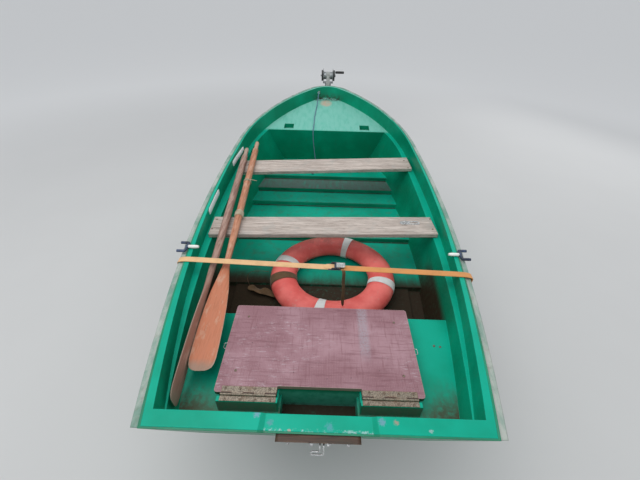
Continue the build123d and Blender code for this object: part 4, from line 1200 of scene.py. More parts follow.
strapTailLook = {
    "turn": 203, "width": 0.056, "lift": 0.0026, "ripple": 0.0022,
    # x, station, height of the tail's middle line, and how far it is twisted
    "line": (
        (-0.235, 0.846, -0.262, 0), (-0.262, 0.842, -0.2715, 4), (-0.292, 0.848, -0.268, 14),
        (-0.318, 0.866, -0.2715, -6), (-0.344, 0.870, -0.262, -30), (-0.366, 0.868, -0.2705, 10),
        (-0.392, 0.880, -0.266, 32), (-0.418, 0.896, -0.2715, -8), (-0.440, 0.908, -0.266, 6),
    ),
    # the rest of it stands on edge and runs back to the ring
    "back": (
        (-0.432, 0.905, -0.258, 0), (-0.449, 0.926, -0.236, 4), (-0.446, 0.944, -0.204, -6),
        (-0.424, 0.942, -0.180, 4), (-0.390, 0.938, -0.171, -4), (-0.352, 0.944, -0.174, 3),
        (-0.318, 0.950, -0.186, 0),
    ),
    "onEdge": (-0.21, 0.71, -0.67),
    "lineShare": 0.8, "backShare": 0.6,  # of the width
    "thickness": 0.0018,
}


def ribbon(name, line, width, thickness, flat=None):
    # flat webbing along a line of x, station, height, twist; flat is the way its width lies
    places = [boatPoint(*row[:3]) for row in line]
    piece = onePoint(name)
    mesh = bmesh.from_edit_mesh(piece.data)
    mesh.verts.ensure_lookup_table()
    first = sides(places, line, 0, width, flat)
    mesh.verts[0].co = first[0]
    bmesh.update_edit_mesh(piece.data)
    bpy.ops.mesh.extrude_vertices_move(TRANSFORM_OT_translate={"value": first[1] - first[0]})
    bpy.ops.mesh.select_all(action="SELECT")
    for index in range(1, len(places)):
        before = sides(places, line, index - 1, width, flat)
        after = sides(places, line, index, width, flat)
        shift = places[index] - places[index - 1]
        extrude(shift)
        mesh = bmesh.from_edit_mesh(piece.data)
        moved = [vertex for vertex in mesh.verts if vertex.select]
        for vertex in moved:
            near = min((0, 1), key=lambda end: (vertex.co - shift - before[end]).length)
            vertex.co = after[near]
        bmesh.update_edit_mesh(piece.data)
    leave()
    shape(piece, "SUBSURF", levels=2, render_levels=2)
    shape(piece, "SOLIDIFY", thickness=thickness, offset=0.0)
    closeUp(piece)
    return softened(piece, thickness * 0.25)


def sides(places, line, index, width, flat):
    # the two edges of the ribbon at one place
    ahead = (places[min(index + 1, len(places) - 1)] - places[max(index - 1, 0)]).normalized()
    across = Vector(flat) if flat else ahead.cross(Vector((0, 0, 1))).normalized()
    turned = Matrix.Rotation(math.radians(line[index][3]), 3, ahead) @ across
    return places[index] - turned * width / 2, places[index] + turned * width / 2


def makeOliveStrap():
    look = strapTailLook
    width, thickness = look["width"], look["thickness"]
    wrap = ringBand("oliveWrap", look["turn"], width, look["lift"], look["ripple"])
    place = boatPoint(buoyLook["x"], buoyLook["station"], buoyLook["height"])
    wrap.matrix_world = Matrix.Translation(place)
    settle(wrap)
    tail = ribbon("oliveTail", look["line"], width * look["lineShare"], thickness)
    back = ribbon("oliveBack", look["back"], width * look["backShare"], thickness, look["onEdge"])
    dress(joined("oliveStrap", [wrap, tail, back]), boat, oliveMaterial, 60)


makeOliveStrap()
print("strap round the buoy made")


# Oars: turned grip, tapering loom and a cupped spoon blade

oarLook = {
    # handle tip x, station, height, blade tip x, station, height, blade turn, cup
    "oarInner": (-0.573, 2.180, 0.1248, -0.461, 0.190, -0.0064, 0, 0.0045),
    "oarOuter": (-0.638, 2.065, 0.1155, -0.517, 0.062, -0.0102, 90, 0.002),
    # distance from the handle's tip, half width, half thickness
    "grip": (
        (0.0, 0.0125, 0.0125), (0.004, 0.0152, 0.0152), (0.03, 0.0160, 0.0160), (0.075, 0.0152, 0.0152),
        (0.112, 0.0160, 0.0160), (0.124, 0.0165, 0.0165), (0.131, 0.0215, 0.0215), (0.16, 0.0220, 0.0220),
    ),
    # share of the whole length, radius
    "loom": ((0.3, 0.0217), (0.5, 0.0211), (0.62, 0.0185)),
    # distance from the blade's tip, half width, half thickness
    "blade": (
        (0.62, 0.0150, 0.0150), (0.56, 0.0185, 0.0130), (0.48, 0.0300, 0.0095), (0.40, 0.0415, 0.0075),
        (0.30, 0.0495, 0.0060), (0.20, 0.0530, 0.0052), (0.11, 0.0540, 0.0047), (0.05, 0.0530, 0.0042),
        (0.025, 0.0490, 0.0038), (0.012, 0.0430, 0.0034), (0.004, 0.0330, 0.0028), (0.0, 0.0190, 0.0020),
    ),
    "bladeLong": 0.6, "bladeHalf": 0.054, "spine": 0.0012,
    "around": 28,
}


def oarEnds(name):
    # the tips of its handle and of its blade
    handleX, handleStation, handleHeight, tipX, tipStation, tipHeight, _, _ = oarLook[name]
    return boatPoint(handleX, handleStation, handleHeight), boatPoint(tipX, tipStation, tipHeight)


def makeOar(name, node, material):
    look = oarLook
    handle, tip = oarEnds(name)
    turn, cup = look[name][6:]
    length = (tip - handle).length
    rows = list(look["grip"])
    rows += [(length * share, half, half) for share, half in look["loom"]]
    rows += [(length - away, half, thin) for away, half, thin in look["blade"]]
    begin()
    bpy.ops.mesh.primitive_circle_add(vertices=look["around"], radius=1, fill_type="NGON", location=(0, 0, 0))
    oar = started(name)
    oar.scale = (rows[0][1], rows[0][2], 1)
    settle(oar)
    bpy.ops.object.mode_set(mode="EDIT")
    bpy.ops.mesh.select_all(action="SELECT")
    for before, after in zip(rows, rows[1:]):
        extrude((0, 0, after[0] - before[0]))
        bpy.ops.transform.resize(value=(after[1] / before[1], after[2] / before[2], 1),
                                 center_override=(0, 0, after[0]))
    leave()
    closeUp(oar)
    # long faces are cut across, so that the blade takes its cup and the loom its wear
    cutUp(oar, lambda edge: edgeRun(edge, 2) > 0.05, "EDGE", 3)
    for vertex in oar.data.vertices:
        away = length - vertex.co.z
        if away < look["bladeLong"]:
            share = vertex.co.x / look["bladeHalf"]
            grow = min(max((look["bladeLong"] - away) / 0.25, 0), 1)
            vertex.co.y += cup * (share * share - 0.4) * grow
            # a low spine down the back of the blade
            if vertex.co.y < 0 and abs(share) < 0.3:
                vertex.co.y -= look["spine"] * (1 - abs(share) / 0.3) * grow * min(away / 0.15, 1)
    run = (tip - handle).normalized()
    sideways = (Vector((1, 0, 0)) - run * run.x).normalized()
    lying = Matrix((sideways, run.cross(sideways), run)).transposed().to_4x4()
    oar.matrix_world = Matrix.Translation(handle) @ lying @ Matrix.Rotation(math.radians(turn), 4, "Z")
    dress(oar, boat, material, 40)
    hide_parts(node)


makeOar("oarInner", "oar_inner", innerOarMaterial)
makeOar("oarOuter", "oar_outer", outerOarMaterial)
print("oars made")


# Tie-down strap over both gunwales, its cam buckle and hanging tail

tieLow, tieHigh = boxOf("tie_strap")
tieShape = {
    "reach": tieHigh.x - 0.0025, "top": tieHigh.z - 0.0045 - ledgeZ, "foot": tieLow.z + 0.0035 - ledgeZ,
    # stations of the foot and of both sides: it lies a little askew
    "footStation": (tieLow.y + tieHigh.y) / 2 - sternY, "port": 0.745, "starboard": 0.690,
    "width": 0.036, "thickness": 0.0022,
    "over": 0.026,  # how far it bears on the gunwale
    # x, lift and twist of the free piece, which ends in a blunt point
    "tongue": ((0.088, 0.0062, 0), (0.055, 0.0074, 0), (0.022, 0.0062, 1), (0.004, 0.0052, 0)),
    "tongueShare": 0.96, "point": 0.014,
    # x, shift along the boat, lift and twist of the hanging end
    "tail": (
        (0.092, -0.002, 0.0030, 0), (0.098, -0.014, 0.0030, 6), (0.1035, -0.0235, -0.004, 3),
        (0.1045, -0.025, -0.022, -5), (0.1030, -0.024, -0.07, 8), (0.1100, -0.026, -0.13, 16),
        (0.1070, -0.022, -0.19, 4), (0.1110, -0.026, -0.245, -8),
    ),
    "tailWidth": 0.016, "tailThickness": 0.0016,
}


def tieStation(x):
    # where the strap crosses the boat at a distance from the middle line
    look = tieShape
    return (look["port"] + look["starboard"]) / 2 - x / look["reach"] * (look["port"] - look["starboard"]) / 2


def strapSide(side):
    # from the cross member up the side, over the strake and inboard
    look = tieShape
    reach, top, foot = look["reach"], look["top"], look["foot"]
    inner = reach - look["over"]
    low = ((0.6455, foot), (0.6465, foot + 0.05))
    high = ((reach + 0.0012, 0.035), (reach + 0.0014, top - 0.009), (reach - 0.001, top - 0.0045),
            (inner, top + 0.0034), (inner - 0.05, top + 0.0032), (0.36, top + 0.0026))
    line = [(side * x, look["footStation"], height, 0) for x, height in low]
    return line + [(side * x, tieStation(side * x), height, 0) for x, height in high]


def makeStrap():
    look = tieShape
    top, width, thickness = look["top"], look["width"], look["thickness"]
    across = [(x, tieStation(x), top + 0.0022, 0) for x in (0.10, -0.12)]
    line = strapSide(1) + across + list(reversed(strapSide(-1)))
    strap = ribbon("tieStrapBand", line, width, thickness, (0, 1, 0))
    over = [(x, tieStation(x) + 0.0008, top + lift, twist) for x, lift, twist in look["tongue"]]
    tongue = ribbon("strapTongue", over, width * look["tongueShare"], thickness, (0, 1, 0))
    for vertex in tongue.data.vertices:
        reach = vertex.co.x - look["tongue"][-1][0]
        if reach < look["point"]:
            share = max(reach, 0) / look["point"]
            middle = sternY + tieStation(vertex.co.x)
            vertex.co.y = middle + (vertex.co.y - middle) * (0.45 + 0.55 * share)
    hanging = [(x, tieStation(x) + shift, top + lift, twist) for x, shift, lift, twist in look["tail"]]
    tail = ribbon("strapTail", hanging, look["tailWidth"], look["tailThickness"], (1, 0, 0))
    band = dress(joined("tieStrapBand", [strap, tongue]), boat, tieMaterial, 50)
    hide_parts("tie_strap")
    dress(tail, boat, oliveMaterial, 50)


# sizes and places round the buckle's own middle, which lies on the strap
buckleLook = {
    "x": 0.057, "lift": 0.0045,
    "base": (0.062, 0.044, 0.0022), "flare": 0.0018,
    "cheek": (0.040, 0.0022, 0.013), "cheekOut": 0.0215, "cheekRound": 0.0055,
    "axle": (0.0032, 0.0475), "axlePlace": (0.006, 0, 0.0105),  # radius, length
    "cam": (0.0062, 0.040), "camPlace": (0.006, 0, 0.0100), "teeth": 0.0008,
    "lever": (0.036, 0.034, 0.0026), "leverPlace": (0.026, 0, 0.0140), "dish": 0.0009,
}


def makeBuckle():
    look = buckleLook
    place = boatPoint(look["x"], tieStation(look["x"]), tieShape["top"] + look["lift"])
    base = block("buckleBase", look["base"], (0, 0, look["base"][2] / 2))
    pick(base, lambda face: abs(face.normal.y) > 0.9)
    extrude((0, 0, 0))
    bpy.ops.mesh.extrude_faces_move(TRANSFORM_OT_shrink_fatten={"value": look["flare"]})
    leave()
    parts = [base]
    for side in (-1, 1):
        cheek = block("buckleCheek", look["cheek"], (0.004, side * look["cheekOut"], 0.0072))
        pick(cheek, lambda edge: edgeRun(edge, 1) > 0.001 and edge.verts[0].co.z > 0.006, "EDGE")
        bpy.ops.mesh.bevel(offset=look["cheekRound"], segments=5)
        leave()
        parts.append(cheek)
    across = (math.pi / 2, 0, 0)
    pin = roundBar("buckleAxle", *look["axle"], look["axlePlace"], across, 20)
    cam = roundBar("buckleCam", *look["cam"], look["camPlace"], across, 20)
    pick(cam, lambda face: face.normal.x < -0.6 and abs(face.normal.y) < 0.1)
    bpy.ops.mesh.inset(thickness=0.0006, use_individual=True)
    bpy.ops.mesh.extrude_faces_move(TRANSFORM_OT_shrink_fatten={"value": look["teeth"]})
    leave()
    parts += [pin, cam]
    body = joined("camBuckle", parts)
    softened(body, 0.0005, 2)
    # the lever's free end is drawn out and turned up
    lever = block("buckleLever", look["lever"], look["leverPlace"])
    pick(lever, lambda face: face.normal.x > 0.9)
    extrude((0.004, 0, 0.0016))
    bpy.ops.transform.resize(value=(1, 0.86, 1))
    extrude((0.003, 0, 0.0020))
    leave()
    pick(lever, lambda face: face.normal.z > 0.9 and face.calc_area() > 0.0008)
    bpy.ops.mesh.inset(thickness=0.004)
    extrude((0, 0, -look["dish"]))
    leave()
    softened(lever, 0.0006, 2)
    body.matrix_world = Matrix.Translation(place)
    lever.matrix_world = Matrix.Translation(place)
    dress(body, boat, buckleMaterial, 35)
    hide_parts("strap_buckle")
    dress(lever, boat, leverMaterial, 35)


buckleMaterial = zincMetal("buckleSteel", {
    "flake": 0.004,
    "deep": fromScreen(52, 58, 70), "pale": fromScreen(84, 92, 108), "bloom": fromScreen(110, 112, 118),
    "rust": 0.4, "rough": 0.35, "metal": 0.7,
})
leverMaterial = zincMetal("buckleLever", {
    "flake": 0.004,
    "deep": fromScreen(176, 178, 178), "pale": fromScreen(222, 223, 220), "bloom": fromScreen(190, 186, 176),
    "rust": 0.3, "rough": 0.3, "metal": 0.8,
})
makeStrap()
makeBuckle()
print("strap and buckle made")


# Screws, modelled once and copied to their places

screwLook = {
    "radius": 0.0052, "height": 0.0022, "slot": 0.0011,
    # x, station
    "lid": ((-0.328, 0.472), (0.325, 0.464), (-0.328, 0.205), (0.325, 0.205)), "lidHeight": -0.0222,
    "forward": ((0.616, 1.983), (0.631, 1.877), (-0.590, 1.86), (-0.588, 1.93)),
    "middle": ((0.659, 1.240), (0.650, 1.133), (-0.655, 1.072), (-0.652, 1.170)),
    "seat": ((0.504, 0.396), (0.530, 0.392)), "seatHeight": -0.0902,
    # first x and distance of a hinge's screws, then station and height on each leaf
    "hingeFirst": 0.178, "hingeApart": 0.055,
    "fixedLeaf": (0.0915, -0.0221), "movingLeaf": (0.1325, -0.0201),
}


def screwHead():
    look = screwLook
    height = look["height"]
    head = roundBar("screwHead", look["radius"], height, (0, 0, height / 2), corners=20)
    pick(head, lambda face: face.normal.z > 0.9)
    bpy.ops.mesh.bevel(offset=0.0009, segments=2)
    leave()
    for turn in (0, math.pi / 2):
        cutter = block("screwSlot", (look["radius"] * 1.3, look["slot"], height), (0, 0, height))
        cutter.rotation_euler = (0, 0, turn)
        settle(cutter)
        shape(head, "BOOLEAN", object=cutter, operation="DIFFERENCE", solver="EXACT")
        bpy.data.objects.remove(cutter)
    return head


def scatter(name, model, places, body, material):
    # copies of one model, joined into one piece
    copies = []
    for index, (place, up) in enumerate(places):
        copies.append(copied(model, name, facingMatrix(Vector(place), up, index * 0.9)))
    bpy.data.objects.remove(model)
    return dress(joined(name, copies), body, material)


def onThwart(node, x, station):
    # on the board's upper face, which lies in one plane
    mesh = nodes[node].data
    best = max((face for face in mesh.polygons if face.normal.z > 0.9), key=lambda face: face.area)
    normal = best.normal.copy()
    point = mesh.vertices[best.vertices[0]].co
    place = boatPoint(x, station, 0)
    place.z = point.z - (normal.x * (place.x - point.x) + normal.y * (place.y - point.y)) / normal.z - 0.0003
    return place, normal


def makeScrews():
    look = screwLook
    upward = (0, 0, 1)

    def screws(name, places, body):
        scatter(name, screwHead(), places, body, rustyMaterial)

    screws("lidScrews", [(boatPoint(*place, look["lidHeight"]), upward) for place in look["lid"]], "lid")
    boards = [onThwart("thwart_forward", *place) for place in look["forward"]]
    boards += [onThwart("thwart_middle", *place) for place in look["middle"]]
    screws("thwartScrews", boards, boat)
    fixed, moving = [], []
    for side in (-1, 1):
        for step in range(4):
            x = side * (look["hingeFirst"] + step * look["hingeApart"])
            fixed.append((boatPoint(x, *look["fixedLeaf"]), upward))
            moving.append((boatPoint(x + side * 0.006, *look["movingLeaf"]), upward))
    screws("hingeScrewsFixed", fixed, boat)
    screws("hingeScrewsMoving", moving, "lid")
    # two in the stern seat to starboard
    screws("seatScrews", [(boatPoint(*place, look["seatHeight"]), upward) for place in look["seat"]], boat)


makeScrews()
print("screws made")


# White marking strips on the inner face of the port gunwale

stripLook = {
    "places": ((1.185, 1.430, 0.074), (1.785, 2.060, 0.116)),  # from station, to station, height
    "fromX": -0.45, "tall": 0.042, "slope": 0.012, "ends": 0.72, "thickness": 0.0016, "parts": 14,
}


def onSurface(node, place, ahead, lift=0.0):
    # the first point of a CAD node met from a place
    hit, where, normal, _ = nodes[node].ray_cast(place, Vector(ahead).normalized())
    if not hit:
        raise ValueError("nothing of " + node + " lies ahead")
    return where + normal * lift


def makeStrips():
    look = stripLook
    strips = []
    for start, end, height in look["places"]:
        begin()
        bpy.ops.mesh.primitive_grid_add(x_subdivisions=look["parts"], y_subdivisions=3, size=1,
                                        location=(0, 0, 0))
        strip = started("markingStrip")
        # rounded ends, then every point onto the wall
        for vertex in strip.data.vertices:
            along, up = vertex.co.x + 0.5, vertex.co.y
            if along < 0.01 or along > 0.99:
                up *= look["ends"]
            level = height + (along - 0.5) * look["slope"]
            place = boatPoint(look["fromX"], start + along * (end - start), level + up * look["tall"])
            vertex.co = onSurface("inner_liner", place, (-1, 0, 0), 0.0004)
        closeUp(strip)
        shape(strip, "SOLIDIFY", thickness=look["thickness"], offset=0.0)
        closeUp(strip)
        softened(strip, 0.0004)
        strips.append(strip)
    dress(joined("markingStrips", strips), boat, stripMaterial, 45)


stripMaterial = agedPlastic("markingPlate", {
    "cloud": 0.04, "deep": fromScreen(240, 242, 244), "pale": fromScreen(250, 251, 252),
    "dust": 0.1, "soil": fromScreen(180, 178, 170), "wear": 0.2, "bare": fromScreen(190, 190, 188),
    "rough": 0.4, "grain": 0.0015,
})
makeStrips()
print("marking strips made")


# Oar collars: frayed cloth by the middle thwart, a cream tie with a stiff end further up

collarLook = {
    # station, length, radius
    "cloth": (1.185, 0.050, 0.0236), "tie": (1.56, 0.016, 0.0240),
    # share of the cloth's length from its middle, bulge
    "bulges": ((-0.5, -0.0012), (-0.4, 0.0008), (-0.2, 0.0022), (0, 0.0008), (0.22, 0.0024), (0.4, 0.0006),
               (0.5, -0.0012)),
    "foldSize": 0.008, "fold": 0.0032, "thickness": 0.0012,
    "cord": 0.0024, "turns": 3,
    "endLong": 0.084, "endRadius": 0.0022, "endWay": (0.86, -0.44, 0.1),
}


def onOar(name, station):
    # middle of an oar's loom at a station, and the way to its handle
    handle, tip = oarEnds(name)
    handleStation, tipStation = oarLook[name][1], oarLook[name][4]
    share = (handleStation - station) / (handleStation - tipStation)
    return handle.lerp(tip, share), (handle - tip).normalized()


def makeCollars():
    look = collarLook
    station, long, radius = look["cloth"]
    cloth = drawn("oarCloth", [(radius + bulge, 0, long * share) for share, bulge in look["bulges"]])
    spun(cloth, 28, (0, 0, 1))
    cutUp(cloth, lambda face: True, "FACE", 2)
    lumpy(cloth, "collarFolds", look["foldSize"], look["fold"])
    shape(cloth, "SOLIDIFY", thickness=look["thickness"], offset=1.0)
    place, ahead = onOar("oarInner", station)
    cloth.matrix_world = facingMatrix(place, ahead)
    dress(cloth, boat, clothMaterial, 60)
    station, long, radius = look["tie"]
    turns = []
    for index in range(look["turns"]):
        turns.append(torus("oarTieTurn", radius + 0.0006 * (index % 2), look["cord"], 36, 10,
                           (0, 0, (index - 1) * long * 0.3),
                           (0.09 * (index - 1), 0.12 - 0.08 * index, 0)))
    wound = joined("oarTieTurns", turns)
    place, ahead = onOar("oarInner", station)
    wound.matrix_world = facingMatrix(place, ahead, 0.5)
    settle(wound)
    # the stiff end of the cord stands off inboard
    end = roundBar("oarTieEnd", look["endRadius"], look["endLong"], corners=12)
    run = Vector(look["endWay"]).normalized()
    end.matrix_world = facingMatrix(place + Vector((0.004, 0, radius)) + run * look["endLong"] * 0.45, run)
    settle(end)
    dress(joined("oarTie", [wound, end]), boat, clothMaterial, 60)


clothMaterial = wovenBand("oarCloth", {
    "rib": "X", "thread": "Y", "pale": fromScreen(190, 176, 150), "deep": fromScreen(140, 124, 100),
    "dust": 0.6, "soil": fromScreen(96, 82, 64),
})
makeCollars()
print("oar collars made")


# Rowlocks lying on the gunwales: horn with knobbed arms, and its pin with a flange

hornLow, hornHigh = boxOf("rowlock_horns")
rowlockLook = {
    "arm": hornHigh.x - 0.001, "inner": hornHigh.x - 0.042, "half": 0.034, "radius": 0.0073,
    "armBend": 0.014, "backBend": 0.016,  # how far the rod's bends reach
    "knob": 0.0098, "knobIn": 0.009, "boss": 0.0098, "bossLong": 0.013,
    "pinStart": hornHigh.x - 0.042 - 0.0078, "pinEnd": hornHigh.x - 0.042 - 0.062,
    "pin": 0.0090, "flange": 0.0125, "lift": 0.0022,
}


def bentRod(name, points, radius):
    # a rod along smooth points, capped, as a mesh
    begin()
    curve = bpy.data.curves.new(name, "CURVE")
    curve.dimensions = "3D"
    curve.resolution_u = 8
    curve.bevel_depth = radius
    curve.bevel_resolution = 5
    curve.use_fill_caps = True
    spline = curve.splines.new("NURBS")
    spline.points.add(len(points) - 1)
    for point, place in zip(spline.points, points):
        point.co = (*place, 1)
    spline.order_u = 3
    spline.use_endpoint_u = True
    rod = bpy.data.objects.new(name, curve)
    bpy.context.scene.collection.objects.link(rod)
    take(rod)
    bpy.ops.object.convert(target="MESH")
    return closeUp(started(name))


def makeRowlocks():
    look = rowlockLook
    middle = Vector((0, (hornLow.y + hornHigh.y) / 2, (hornLow.z + hornHigh.z) / 2))
    arm, inner, half = look["arm"], look["inner"], look["half"]
    pin, flange, length = look["pin"], look["flange"], look["pinStart"] - look["pinEnd"]
    armBend, backBend = look["armBend"], look["backBend"]
    outline = [(arm, -half), (arm - armBend, -half), (inner + armBend, -half), (inner, -half),
               (inner, -half + backBend)]
    outline += [(x, -along) for x, along in reversed(outline)]
    # the pin's radius along it, with the flange near its far end
    pinSection = ((0, 0), (pin * 0.8, 0), (pin, -0.0016), (pin, -length + 0.013),
                  (flange * 0.66, -length + 0.012), (flange * 0.66, -length + 0.0092),
                  (pin * 0.9, -length + 0.008), (pin * 0.72, -length), (0, -length))
    horns, pins = [], []
    for side in (-1, 1):
        line = [middle + Vector((side * x, along, 0)) for x, along in outline]
        horns.append(bentRod("rowlockHorn", line, look["radius"]))
        for along in (-half, half):
            begin()
            bpy.ops.mesh.primitive_uv_sphere_add(
                segments=20, ring_count=12, radius=look["knob"] * 0.86,
                location=middle + Vector((side * (arm - look["knobIn"]), along, 0)))
            knob = started("rowlockKnob")
            knob.scale = (1.0, 0.94, 0.86)
            settle(knob)
            horns.append(knob)
        bossPlace = middle + Vector((side * (inner - 0.0008), 0, 0))
        boss = roundBar("rowlockBoss", look["boss"], look["bossLong"], bossPlace, (0, math.pi / 2, 0))
        softened(boss, 0.002, 3)
        horns.append(boss)
        pinPiece = drawn("rowlockPin", [(0, out, along) for out, along in pinSection])
        spun(pinPiece, 24, (0, 0, 1))
        start = middle + Vector((side * look["pinStart"], 0, look["lift"]))
        pinPiece.matrix_world = facingMatrix(start, (side, 0, 0))
        settle(pinPiece)
        pins.append(closeUp(pinPiece))
    hornPiece = dress(joined("rowlockHorns", horns), boat, navyMaterial, 50)
    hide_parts("rowlock_horns")
    pinsPiece = dress(joined("rowlockPins", pins), boat, pinMaterial, 50)
    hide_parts("rowlock_pins")


makeRowlocks()
print("rowlocks made")


# Tyres with grooves and shoulder lugs

tyreLook = {
    # distance across from the middle, radius, over the crown from one bead to the other
    "side": (
        (0.046, 0.139), (0.0570, 0.1435), (0.0590, 0.1470), (0.0660, 0.160), (0.0700, 0.174),
        (0.0722, 0.190), (0.0712, 0.205), (0.0675, 0.219), (0.0660, 0.2205), (0.0610, 0.231),
        (0.0565, 0.2385), (0.0500, 0.2432),
    ),
    "crown": (
        (0.0370, 0.2462), (0.0340, 0.2415), (0.0290, 0.2415), (0.0270, 0.2484), (0.0150, 0.2496),
        (0.0130, 0.2445), (0.0085, 0.2445), (0.0065, 0.2499),
    ),
    "inner": ((0.043, 0.1278), (0.032, 0.1278), (0.045, 0.152), (0.058, 0.186), (0.052, 0.226), (0.0, 0.236)),
    "steps": 108, "gap": 0.0042,
}


def inLugGap(face):
    # every third shoulder block is cut away, the two sides out of step
    centre = face.calc_center_median()
    if math.hypot(centre.y, centre.z) < 0.226 or not 0.037 < abs(centre.x) < 0.066:
        return False
    index = int((math.atan2(centre.z, centre.y) + math.pi) / fullTurn * tyreLook["steps"] + 0.01)
    return (index + (1 if centre.x > 0 else 0)) % 3 == 0


def makeTyre(name, node, body):
    look = tyreLook
    half = [*look["side"], *look["crown"]]
    points = [(-x, 0, r) for x, r in half] + [(x, 0, r) for x, r in reversed(half)]
    points += [(x, 0, r) for x, r in look["inner"]] + [(-x, 0, r) for x, r in reversed(look["inner"][:-1])]
    tyre = drawn(name, points, closed=True)
    spun(tyre, look["steps"], (1, 0, 0))
    pick(tyre, inLugGap)
    bpy.ops.mesh.inset(thickness=0.0012)
    bpy.ops.mesh.extrude_region_shrink_fatten(TRANSFORM_OT_shrink_fatten={"value": -look["gap"]})
    leave()
    low, high = boxOf(node)
    tyre.matrix_world = Matrix.Translation((low + high) / 2)
    dress(tyre, body, rubberMaterial, 32)
    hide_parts(node)


makeTyre("tyrePort", "tyre_port", "wheel_port")
makeTyre("tyreStarboard", "tyre_starboard", "wheel_starboard")
print("tyres made")


# Bolts of the trailer and of the pad at the transom

crossMembers = ("cross_member_aft", "cross_member_fore")
winchPostStation = 3.235
boltLook = {
    # width across the head, its height, width of the washer
    "smallSize": (0.013, 0.006, 0.024), "largeSize": (0.015, 0.007, 0.026), "padSize": (0.011, 0.005, 0.022),
    # x, then station and height of each mudguard's bolts; the axle stands at 1.150
    "guardX": 0.704, "guard": ((1.150 + 0.045, 0.500), (1.150 - 0.050, 0.486), (1.150 + 0.115, 0.345)),
    "postFootX": (-0.044, 0.044), "postFootAlong": (-0.058, 0.058), "postFootHeight": 0.376,
    "couplingEnd": 4.262 - 0.038, "couplingBack": (0.06, 0.13), "couplingX": 0.032, "couplingHeight": 0.392,
    "bowStopX": (-0.034, 0.034), "bowStop": (3.128, 0.04),  # station, height over the seat ledge
    "jockeyClampX": (-0.082 - 0.026, -0.082 + 0.022), "jockeyClamp": (3.820, 0.335),
    "bunkPostX": 0.350, "bunkPostHalf": 0.016,
    # x, height of two bolts under the cap and two at the foot of the pad
    "pad": ((-0.021, 0.045), (0.032, 0.045), (-0.105, -0.085), (0.105, -0.085)), "padLean": (0, -1, -0.4),
}


def lowPoint(x, station, height):
    # station from the transom, height over the ground
    return Vector((x, sternY + station, height))


def boltHead(across, tall, washer):
    # six-sided head on its washer, with a thread's end standing out
    head = roundBar("boltHead", across / math.sqrt(3), tall, (0, 0, tall / 2 + 0.0012), corners=6)
    pick(head, lambda face: face.normal.z > 0.9)
    bpy.ops.mesh.inset(thickness=across * 0.1)
    bpy.ops.transform.translate(value=(0, 0, across * 0.05))
    bpy.ops.mesh.inset(thickness=across * 0.12)
    extrude((0, 0, tall * 0.3))
    leave()
    disc = roundBar("boltWasher", washer / 2, 0.0014, (0, 0, 0.0007), corners=28)
    softened(disc, 0.0003)
    return joined("boltHead", [head, disc])


def makeBolts():
    look = boltLook
    guards = [(lowPoint(side * look["guardX"], *place), (-side, 0, 0))
              for side in (-1, 1) for place in look["guard"]]
    scatter("guardBolts", boltHead(*look["smallSize"]), guards, boat, zincMaterial)
    foot = [(lowPoint(x, winchPostStation + along, look["postFootHeight"]), (0, 0, 1))
            for x in look["postFootX"] for along in look["postFootAlong"]]
    for side in (-1, 1):
        for back in look["couplingBack"]:
            place = lowPoint(side * look["couplingX"], look["couplingEnd"] - back, look["couplingHeight"])
            foot.append((place, (side, 0, 0)))
    foot += [(boatPoint(x, *look["bowStop"]), (0, 1, 0)) for x in look["bowStopX"]]
    foot += [(lowPoint(x, *look["jockeyClamp"]), (0, 1, 0)) for x in look["jockeyClampX"]]
    scatter("frameBolts", boltHead(*look["largeSize"]), foot, boat, zincMaterial)
    posts = []
    for node in crossMembers:
        low, high = boxOf(node)
        for side in (-1, 1):
            for x in (-look["bunkPostHalf"], look["bunkPostHalf"]):
                place = (side * look["bunkPostX"] + x, high.y + 0.006, (low.z + high.z) / 2)
                posts.append((place, (0, 1, 0)))
    scatter("postBolts", boltHead(*look["smallSize"]), posts, boat, zincMaterial)
    leaning = Vector(look["padLean"]).normalized()
    pad = []
    for x, height in look["pad"]:
        pad.append((onSurface("motor_pad", boatPoint(x, -0.3, height), (0, 1, 0)), leaning))
    scatter("padBolts", boltHead(*look["padSize"]), pad, boat, brightMaterial)


makeBolts()
print("bolts made")


# U-bolts over the spine, with a plate under each cross member

clampLook = {
    "half": 0.0405, "rod": 0.0045, "bend": 0.03, "corner": 0.006,
    "foot": 0.020, "top": 0.0755,  # under and over the cross member
    "aft": 0.009, "ahead": 0.011,  # off the cross member's two sides
    "plateWidth": 0.106, "plateOver": 0.044, "plate": 0.005,
    "nut": (0.013, 0.008, 0.018),
}


def makeClamps():
    look = clampLook
    half, bend, corner = look["half"], look["bend"], look["corner"]
    clamps = []
    for node in crossMembers:
        low, high = boxOf(node)
        foot, top = low.z - look["foot"], high.z + look["top"]
        outline = [(-half, foot), (-half, foot + bend), (-half, top - bend), (-half, top - 0.002),
                   (-half + corner, top), (-half + bend, top)]
        outline += [(-x, z) for x, z in reversed(outline)]
        both = (low.y - look["aft"], high.y + look["ahead"])
        for y in both:
            clamps.append(bentRod("uBolt", [(x, y, z) for x, z in outline], look["rod"]))
        plate = block("clampPlate", (look["plateWidth"], high.y - low.y + look["plateOver"], look["plate"]),
                      (0, (low.y + high.y) / 2 + 0.001, low.z - 0.0035))
        softened(plate, 0.0015, 2)
        clamps.append(plate)
        nut = boltHead(*look["nut"])
        for x in (-half, half):
            for y in both:
                stand = facingMatrix(Vector((x, y, low.z - 0.006)), (0, 0, -1), x * 40)
                clamps.append(copied(nut, "clampNut", stand))
        bpy.data.objects.remove(nut)
    dress(joined("spineClamps", clamps), boat, zincMaterial)


makeClamps()
print("spine clamps made")


# Bunks: carpet drawn over each timber

bunkLook = {"wide": 0.080, "round": 0.010, "lump": 0.0016, "lumpSize": 0.03, "cuts": 70}


